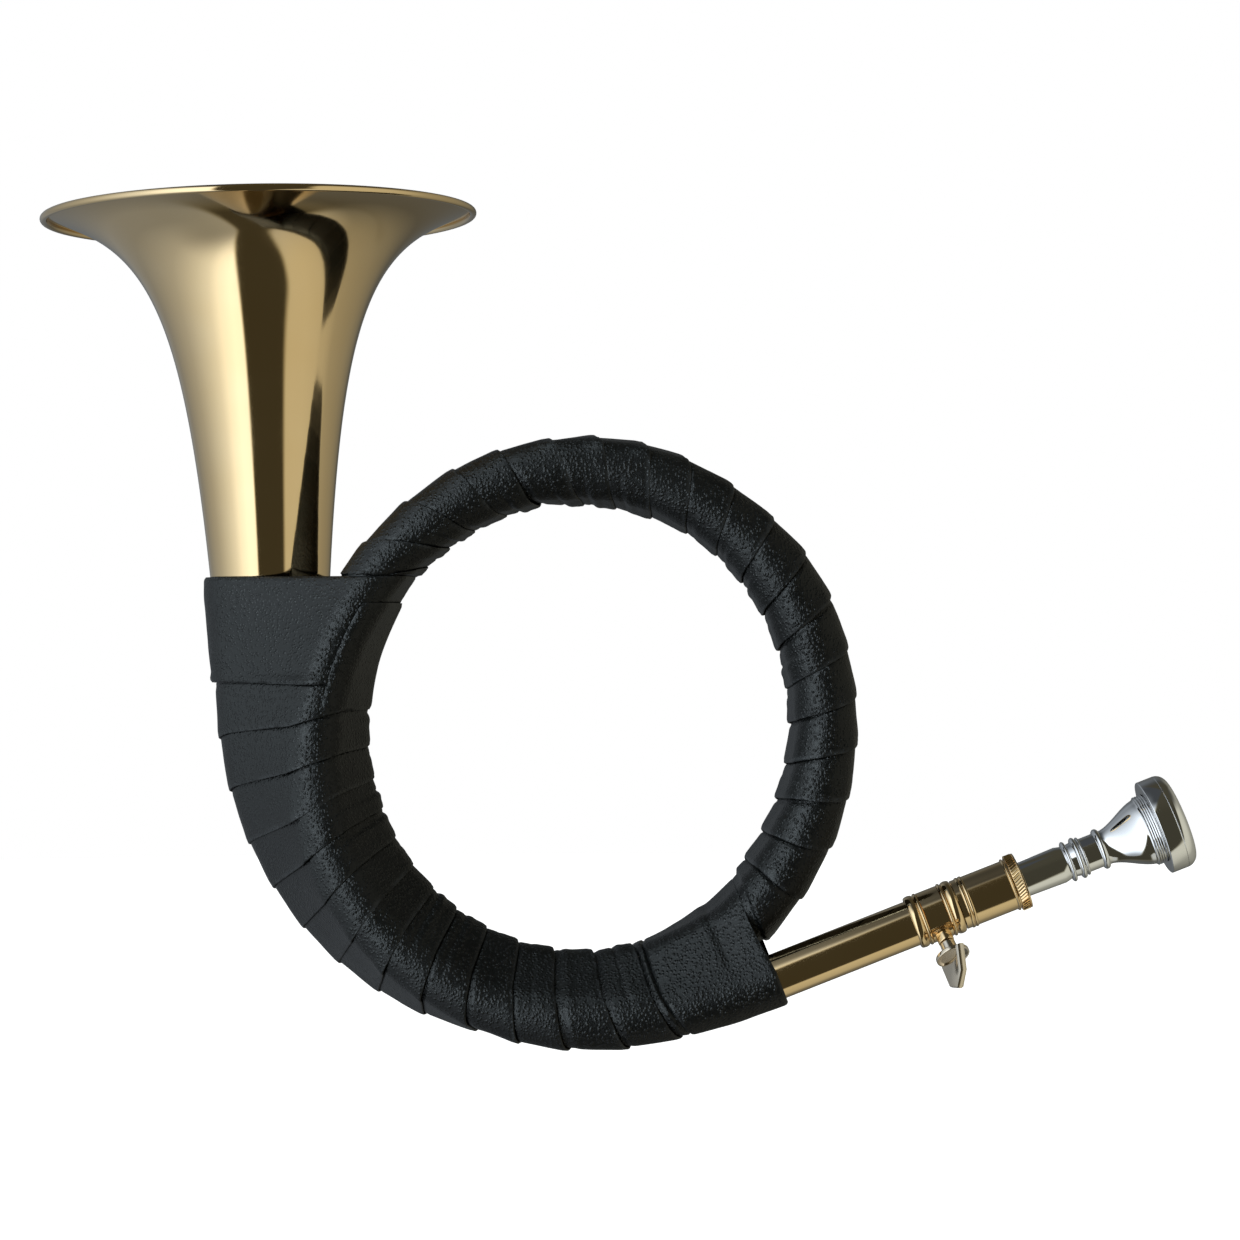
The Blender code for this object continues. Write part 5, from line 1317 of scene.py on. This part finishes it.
class HORN_OT_windings(bpy.types.Operator):
    """Winds both leather strips, each lap resting on the one before it"""

    bl_idname = "horn.make_windings"
    bl_label = "Make Windings"

    def execute(self, context):
        horn = context.scene.horn
        route = Route(horn)
        leather = horn.leather
        sweep = math.radians(180 - route.foot_angle) * horn.bell.axis_distance
        places = np.radians(np.array(LOWER_LAPS) - route.foot_angle) * horn.bell.axis_distance
        self.wind(
            "horn_lower_winding", horn, route, lambda distance: lower_plane(route, sweep, distance),
            sweep + leather.cuff_bottom, places, True, [], (HEM_UNDER_CUFF, HEM_UNDER_LIP),
        )
        start, end = upper_ends(route, leather)
        skip = [(-1000, route.foot_wind + 100), (BELL_WIND - 90, 2000)]
        span = math.radians(end - start) * horn.coil.half_height
        self.wind(
            "horn_upper_winding", horn, route, lambda distance: upper_plane(route, start, end, distance),
            span, np.radians(np.array(UPPER_LAPS) - start) * horn.coil.half_height, False, skip,
            (HEM_UNDER_CUFF, HEM_UNDER_CUFF),
        )
        return {"FINISHED"}

    def wind(self, name, horn, route, plane, span, places, proud_start, skip, hems):
        """One strip from end to end of its way, both of its ends tucked under what meets it."""
        leather = horn.leather
        tail = TUCK_UNDER if proud_start else places[-1] + TUCK_UNDER - span
        rows = np.arange(-TUCK_UNDER, span + tail + BAND_STEP, BAND_STEP)
        band = Band(route, [plane(row) for row in rows], skip, -TUCK_UNDER)
        pitch = float(np.mean(np.diff(places)))
        width = pitch * (1 + leather.overlap)
        ahead = pitch * np.arange(1, 5)
        way = np.concatenate([places[0] - ahead[::-1], places, places[-1] + ahead])
        laps = np.arange(len(way)) - 4
        reach = width * (0.5 - LAP_END_SHARE)
        first = math.ceil((-TUCK_UNDER - reach) / pitch * LAP_POINTS)
        last = math.floor((span + TUCK_UNDER + reach) / pitch * LAP_POINTS)
        if not proud_start:
            last = round((len(places) - 0.5) * LAP_POINTS)
        turns = np.arange(first, last + 1) / LAP_POINTS
        swayed = turns + LAP_SLANT * np.sin(2 * math.pi * turns) / (2 * math.pi)
        if proud_start:
            centres = np.interp(swayed - OUTER_LAP, laps, way) + width / 2
        else:
            centres = np.interp(swayed - INNER_LAP, laps, way) - width / 2
        seed = leather.seed + (0 if proud_start else 40)
        near = centres - width / 2 + leather.waviness * wander(turns, 0.37, seed)
        far = centres + width / 2 + leather.waviness * wander(turns, 0.37, seed + 11)
        near, far = np.maximum(near, -TUCK_UNDER), np.minimum(far, span + tail)
        keep = far - near > width * LAP_END_SHARE / 2
        turns, centres, near, far = turns[keep], centres[keep], near[keep], far[keep]
        buried, proud = (far, near) if proud_start else (near, far)
        covered = centres + (width / 2 if proud_start else -width / 2)
        grid, wear = self.lap_grid(band, leather, turns, covered, buried, proud, width, seed, span, hems)
        around = np.broadcast_to(turns[:, None], wear.shape)
        across = np.broadcast_to(np.linspace(0, 1, wear.shape[1]), wear.shape)
        mesh = grid_mesh(name, grid, uv=np.stack([around, across], -1), wear=wear)
        shade(mesh, 60)
        piece(name, mesh, hide_finish(horn), "horn", [name.removeprefix("horn_")])

    def lap_grid(self, band, leather, turns, covered, buried, proud, width, seed, span, hems):
        """Rings across the strip: its top from the covered edge to the free one, round it, and back."""
        top = np.linspace(0, 1, LAP_COLUMNS)
        base, tip = band.row(buried)[:, None], band.row(proud)[:, None]
        share = turns[:, None]
        start, _ = band.at(base, share)
        end, _ = band.at(tip, share)
        chord = end - start
        run = np.linalg.norm(chord, axis=-1, keepdims=True)
        edge_turns = np.radians(EDGE_TURNS)
        bottom = np.array([0.97, 0.6, 0.3, 0.0])
        columns = np.concatenate([top, np.ones(len(edge_turns)), bottom])
        row = base + (tip - base) * columns
        spots, ways = band.at(row, np.broadcast_to(share, row.shape))
        distance = row * BAND_STEP + band.first
        place = np.clip(np.abs(distance - covered[:, None]) / width, 0.0, 1.0)
        points = (start + chord * columns[:, None]) * 0.7 + spots * 0.3
        height = WRAP_CLEARANCE + LAP_SEAT + self.lap_form(band, leather, row, share, place, ways, seed)
        height = height + 0.00012 * grain(points, 0.006, seed)
        side = (share + 0.5) % 1.0 - 0.5
        begin = cuff_edge(side) if hems[1] > HEM_UNDER_CUFF else 0.0
        height = np.minimum(height, hems[0] + 0.003 * smooth((distance - begin) / HEM_RUN))
        under = 0.0008 * smooth((distance - span) / 0.003) * (hems[1] > HEM_UNDER_CUFF)
        height = np.minimum(height, hems[1] - under + 0.003 * smooth((span - distance) / HEM_RUN))
        sheet = np.minimum(leather.thickness * (0.4 + 0.6 * smooth(place)), height - 0.0001)
        sides = len(top)
        edges = slice(sides, sides + len(edge_turns))
        stand = height.copy()
        stand[:, edges] = height[:, edges] - sheet[:, edges] / 2 * (1 - np.sin(edge_turns))
        stand[:, edges.stop:] = height[:, edges.stop:] - sheet[:, edges.stop:]
        grid = points + ways * stand[..., None]
        ahead = chord / run
        grid[:, edges] += ahead * (sheet[:, edges] / 2 * np.cos(edge_turns))[..., None]
        # The free edge is painted lighter: partly rubbed wear, partly a painted highlight where the edge catches the
        # light.
        wear = np.clip((place - 0.9) / 0.1, 0.0, 1.0) ** 2
        wear[:, edges.stop:] = 0.0
        return grid, wear

    def lap_form(self, band, leather, row, share, place, ways, seed):
        """How a lap stands off the tubes: a shoulder, a slow rise, a rolled edge, folds and lifts."""
        front = ways[..., 1] ** 2
        inner = band.innerness(row, ways)
        shoulder = 0.25 + 0.45 * front
        form = (1 - shoulder) * place + shoulder * smooth((place - 0.09) / 0.12)
        form = form - 0.15 * smooth((place - 0.9) / 0.1)
        height = leather.rise * form * (1 + 0.5 * inner)
        spot = 0.42 + 0.2 * wander(share, 0.8, seed + 3)
        depth = np.clip(0.55 + 0.9 * wander(share, 0.6, seed + 5), 0.0, 1.0)
        groove = np.exp(-(((place - spot) / 0.045) ** 2)) - 0.8 * np.exp(-(((place - spot - 0.15) / 0.09) ** 2))
        height = height - leather.creases * inner**1.5 * depth * groove
        side = (share % 1.0 - 0.9) / 0.035
        lifted = np.clip(wander(share, 0.9, seed + 21) + 0.35, 0.0, 1.0)
        height = height + leather.lift * np.exp(-(side**2)) * lifted * smooth((place - 0.6) / 0.4)
        return height


def cuff_edge(side):
    """How far before the coil's foot the mouthpipe's cuff starts, by the way round from the front."""
    return CUFF_START + CUFF_SLANT * np.sin(2 * math.pi * side)


def lower_plane(route, sweep, distance):
    """The plane of the lower winding this far along it, from the coil's foot to the bell's cuff."""
    if distance < sweep:
        turn = route.foot_angle + math.degrees(distance / route.bell.axis_distance)
        return route.polar_middle(turn), turn
    return route.polar_middle(180.0) + np.array([0.0, 0.0, distance - sweep]), 180.0


def upper_ends(route, leather):
    """The angles where the upper winding starts, at the bell's cuff, and ends, at the mouthpipe's."""
    start = route.angle_at(np.array([0.0, 0.0, 1.0]), leather.cuff_top, np.arange(180.0, 250.0, 0.5))
    near = np.arange(route.foot_angle - 45, route.foot_angle, 0.5)
    return start, 360 + route.angle_at(route.lead_way, MOUTHPIPE_CUFF_REACH, near)


def upper_plane(route, start, end, distance):
    """The plane of the upper winding this far along it."""
    turn = start + math.degrees(distance / route.coil.half_height)
    tilt = (180 - start) * (1 - float(smooth((turn - start) / PLANE_BLEND)))
    tilt += (route.foot_angle + 360 - end) * float(smooth((turn - end + PLANE_BLEND) / PLANE_BLEND))
    return route.polar_middle(turn), turn + tilt


class HORN_OT_cuffs(bpy.types.Operator):
    """Pulls the leather cuffs over the bell's throat and the mouthpipe's foot, and lays the flap"""

    bl_idname = "horn.make_cuffs"
    bl_label = "Make Cuffs"

    def execute(self, context):
        horn = context.scene.horn
        route = Route(horn)
        leather = horn.leather
        middle = route.polar_middle(180.0)
        heights = np.linspace(leather.cuff_bottom, leather.cuff_top, 46)
        band = Band(route, [(middle + np.array([0.0, 0.0, height]), 180.0) for height in heights])
        above = heights - leather.cuff_bottom
        stands = WRAP_CLEARANCE + FIT_GAP + 0.0009 * (1 - smooth(above / 0.0035))
        self.sleeve("horn_bell_cuff", horn, band, stands, "bell_cuff", 5)
        foot = route.polar_middle(route.foot_angle)
        before = CUFF_START + CUFF_SLANT
        reaches = np.arange(-before, MOUTHPIPE_CUFF_REACH + BAND_STEP, BAND_STEP)
        planes = [
            (foot + reach * route.lead_way, route.foot_angle) if reach > 0 else lower_plane(route, 1.0, -reach)
            for reach in reaches
        ]
        stands = np.full(54, WRAP_CLEARANCE + FIT_GAP)
        side = (np.arange(BAND_SHARES) / BAND_SHARES + 0.5) % 1.0 - 0.5
        tucked = smooth((side - 0.03) / 0.09) * (1 - smooth((side - 0.36) / 0.08))
        begin = (before - cuff_edge(side)) / BAND_STEP
        end = (before + MOUTHPIPE_CUFF_REACH - CUFF_CUT * tucked) / BAND_STEP
        band = Band(route, planes)
        self.sleeve("horn_mouthpipe_cuff", horn, band, stands, "mouthpipe_cuff", 6, (begin, end), tucked)
        self.flap(horn, route, middle)
        return {"FINISHED"}

    def sleeve(self, name, horn, band, stands, node, seed, ends=None, tucked=0.0):
        """A leather sleeve through the band's planes, its two edges rounded or thinned to be tucked."""
        leather = horn.leather
        rows = np.arange(len(stands))[:, None] * 1.0
        shares = np.arange(BAND_SHARES)[None] / BAND_SHARES
        share = np.broadcast_to(shares, (len(stands), BAND_SHARES))
        begin, end = ends or (0.0, len(stands) - 1.0)
        row = begin + (end - begin) * rows / rows[-1] + 0.0 * share
        points, ways = band.at(row, share)
        uneven = 0.00022 * grain(points, 0.011, seed) + 0.00008 * grain(points, 0.004, seed)
        lip = np.sqrt(np.clip(np.minimum(rows, rows[::-1]) / 1.5, 0.0, 1.0))
        thick = (0.35 + 0.65 * lip) * (1 - 0.8 * tucked * smooth((21 - rows[::-1]) / 6.0))
        outer = points + ways * (stands[:, None] + leather.cuff_thickness * thick + uneven)[..., None]
        inner = points + ways * (stands[:, None] + uneven * 0.5 - 0.0001)[..., None]
        grid = np.concatenate([outer, inner[::-1]])
        # Both edge rows take the lighter edge colour: partly rubbed wear, partly painted highlight.
        wear = np.zeros(grid.shape[:2])
        wear[[0, len(stands) - 1]] = 0.7
        mesh = grid_mesh(name, grid, closed=True, wear=wear)
        shade(mesh, 60)
        piece(name, mesh, hide_finish(horn), "horn", [node])

    def flap(self, horn, route, middle):
        """The end of the cuff's leather, lapped over its front and inner side."""
        leather = horn.leather
        low, high, first, sweep, lean = 0.0045, 0.0348, 0.028, 0.392, 0.0
        heights = np.linspace(low, high, 28)
        band = Band(route, [(middle + np.array([0.0, 0.0, height]), 180.0) for height in heights])
        tilt = lean * (heights - low) / (high - low)
        across = np.linspace(0, 1, 60)
        share = (first - tilt)[:, None] + (sweep + tilt)[:, None] * across
        row = np.broadcast_to(np.arange(len(heights))[:, None] * 1.0, share.shape)
        points, ways = band.at(row, share)
        rim = np.minimum(np.minimum(across, 1 - across)[None] * 20, np.minimum(row, row[::-1]) / 1.5)
        rim = np.sqrt(np.clip(rim, 0.0, 1.0))
        stand = WRAP_CLEARANCE + 2 * FIT_GAP + leather.cuff_thickness + 0.0001
        uneven = 0.0002 * grain(points, 0.009, 9)
        upper = points + ways * (stand + 0.0006 * rim + uneven + 0.0001)[..., None]
        lower = points + ways * (stand - 0.0003 + uneven * 0)[..., None]
        grid = np.concatenate([lower, upper[:, ::-1]], axis=1)
        # The flap's rim takes the lighter edge colour: partly rubbed wear, partly painted highlight.
        wear = np.concatenate([np.zeros_like(rim), (1 - rim[:, ::-1]) * 0.3], axis=1)
        mesh = grid_mesh("horn_cuff_flap", grid, wear=wear)
        shade(mesh, 60)
        piece("horn_cuff_flap", mesh, hide_finish(horn), "horn", ["cuff_flap"])


class HORN_OT_hidden_parts(bpy.types.Operator):
    """Gives the covered tubes, ferrules, slide and rim wire their finishes"""

    bl_idname = "horn.paint_hidden_parts"
    bl_label = "Paint Covered Parts"

    def execute(self, context):
        horn = context.scene.horn
        for name, node in frame["nodes"].items():
            if node.hide_render:
                continue
            finish = steel_finish(horn) if name == "rim_wire" else dull_brass_finish(horn)
            node.data.materials.clear()
            node.data.materials.append(finish)
        return {"FINISHED"}


class HORN_OT_stage(bpy.types.Operator):
    """Sets up the camera, the pale floor and the soft studio light"""

    bl_idname = "horn.make_stage"
    bl_label = "Make Stage"

    def execute(self, context):
        settings = context.scene.horn.stage
        self.camera(context, settings)
        self.floor(context, settings)
        self.light(context, settings)
        self.softboxes(context, settings)
        context.scene.view_settings.view_transform = "Standard"
        return {"FINISHED"}

    def camera(self, context, settings):
        data = bpy.data.cameras.new("camera")
        data.lens = settings.lens
        data.sensor_width = 36.0
        made = bpy.data.objects.new("camera", data)
        made.location = settings.camera
        made.rotation_euler = (math.pi / 2, 0.0, 0.0)
        context.scene.collection.objects.link(made)
        context.scene.camera = made

    def floor(self, context, settings):
        work = bmesh.new()
        bmesh.ops.create_circle(work, cap_ends=True, segments=96, radius=2.6)
        mesh = bpy.data.meshes.new("floor")
        bmesh.ops.translate(work, verts=work.verts, vec=(0, 0, settings.floor_height))
        work.to_mesh(mesh)
        work.free()
        made = bpy.data.objects.new("floor", mesh)
        context.scene.collection.objects.link(made)

        def build(graph):
            cloud = graph.noise(graph.object_place(), 3.0, 2.0)
            pale = tuple(0.97 * part for part in settings.floor[:3]) + (1.0,)
            return {
                "Base Color": graph.blend(cloud, settings.floor, pale),
                "Roughness": 0.85,
                "Emission Color": (1.0, 1.0, 1.0, 1.0),
                "Emission Strength": 1.0,
            }

        mesh.materials.append(finish_of("pale_floor", build))
        made.visible_glossy = False
        made.visible_diffuse = False

    def softboxes(self, context, settings):
        """The leather's own lights from the left, because black leather needs more than brass does."""
        lit = bpy.data.collections.new("leather")
        for made in context.scene.objects:
            if made.name in LEATHER_PIECES:
                lit.objects.link(made)
        for name, turn, rise, wide, level in SOFTBOXES:
            data = bpy.data.lights.new(name, "AREA")
            data.shape = "RECTANGLE"
            data.size = 2 * SOFTBOX_REACH * math.tan(math.radians(wide) / 2)
            data.size_y = SOFTBOX_HEIGHT if rise < 1.0 else data.size
            data.color = SOFTBOX_COLOUR
            data.energy = level * settings.brightness * math.pi * data.size * data.size_y
            made = bpy.data.objects.new(name, data)
            way = Vector((0.0, -1.0, 0.0))
            way.rotate(Matrix.Rotation(-math.radians(rise), 3, "X"))
            way.rotate(Matrix.Rotation(math.radians(turn), 3, "Z"))
            made.location = Vector((0.0, 0.0, -0.05)) + SOFTBOX_REACH * way
            made.rotation_euler = way.to_track_quat("Z", "Y").to_euler()
            context.scene.collection.objects.link(made)
            made.light_linking.receiver_collection = lit

    def light(self, context, settings):
        """A studio round the horn: softboxes, dark gaps, a dark ceiling, and white for the camera."""
        world = bpy.data.worlds.new("studio")
        context.scene.world = world
        world.use_nodes = True
        graph = Graph(world.node_tree)
        way = graph.node("ShaderNodeTexCoord", output="Generated")
        across = graph.node("ShaderNodeSeparateXYZ", {}, {0: way}, "X")
        deep = graph.node("ShaderNodeSeparateXYZ", {}, {0: way}, "Y")
        high = graph.node("ShaderNodeSeparateXYZ", {}, {0: way}, "Z")
        turn = graph.math("ARCTAN2", across, -deep) / (2 * math.pi) + 0.5
        stops = [((place + 180) / 360, level / STUDIO_PEAK) for place, level in STUDIO_BANDS]
        bands = graph.node("ShaderNodeValToRGB", {"stops": stops}, {0: turn}, "Color")
        level = graph.node("ShaderNodeRGBToBW", {}, {0: bands}) * STUDIO_PEAK
        above = graph.ease(high, *CEILING_RISE)
        below = graph.ease(-high, *TABLE_DROP)
        table = graph.ease(across, -0.4, 0.3, TABLE_LEFT, TABLE_RIGHT)
        flat = graph.math("MAXIMUM", 1.0 - high * high, 0.0001)
        spread = across / flat**0.2
        right = spread + graph.ease(deep, -0.7, 0.0) * graph.ease(-high, 0.55, 0.8) * GAP_LEAN
        gap = graph.ease(spread, *GAP_LEFT) * (1.0 - graph.ease(right, *GAP_RIGHT))
        gap = gap * (1.0 - graph.ease(deep, *GAP_BACK))
        level = level + (table - level) * below * graph.ease(deep, -0.5, 0.1)
        level = level + (DARK_GAP - level) * gap
        level = level + (CEILING - level) * above * graph.ease(across, *CEILING_LEFT)
        camera_ray = graph.node("ShaderNodeLightPath", output="Is Camera Ray")
        strength = level * settings.brightness * (1.0 - camera_ray) + camera_ray
        tint = graph.blend(graph.ease(across, -0.25, 0.5), COOL, WARM)
        tint = graph.blend(gap, tint, GAP_TINT)
        tint = graph.blend(camera_ray, tint, (1.0, 1.0, 1.0, 1.0))
        studio = graph.node("ShaderNodeBackground", {}, {"Color": tint, "Strength": strength})
        graph.node("ShaderNodeOutputWorld", {}, {"Surface": studio})


PIECES = (
    HORN_OT_bell,
    HORN_OT_branch,
    HORN_OT_mouthpipe,
    HORN_OT_receiver,
    HORN_OT_thumb_screw,
    HORN_OT_mouthpiece,
    HORN_OT_mouthpiece_rim,
    HORN_OT_windings,
    HORN_OT_cuffs,
    HORN_OT_hidden_parts,
    HORN_OT_stage,
)


class HORN_PT_panel(bpy.types.Panel):
    """Lists the horn's pieces and the sizes and colours behind them"""

    bl_idname = "HORN_PT_panel"
    bl_label = "Hunting Horn"
    bl_space_type = "VIEW_3D"
    bl_region_type = "UI"
    bl_category = "Horn"

    def draw(self, context):
        horn = context.scene.horn
        for operator in PIECES:
            self.layout.operator(operator.bl_idname)
        for group in horn.bl_rna.properties:
            if group.type != "POINTER" or group.identifier == "rna_type":
                continue
            box = self.layout.box()
            box.label(text=group.name)
            settings = getattr(horn, group.identifier)
            for item in settings.bl_rna.properties:
                if item.identifier not in ("rna_type", "name"):
                    box.prop(settings, item.identifier)


CLASSES = (
    BellSizes, CoilSizes, MouthpipeSizes, ScrewSizes, MouthpieceSizes, LeatherSizes, Finishes, StageSettings,
    HornSettings, *PIECES, HORN_PT_panel,
)


def register():
    for kind in CLASSES:
        bpy.utils.register_class(kind)
    bpy.types.Scene.horn = bpy.props.PointerProperty(type=HornSettings)


def unregister():
    del bpy.types.Scene.horn
    for kind in reversed(CLASSES):
        bpy.utils.unregister_class(kind)


def main():
    register()
    for operator in PIECES:
        group, call = operator.bl_idname.split(".")
        getattr(getattr(bpy.ops, group), call)()


if __name__ == "__main__":
    main()
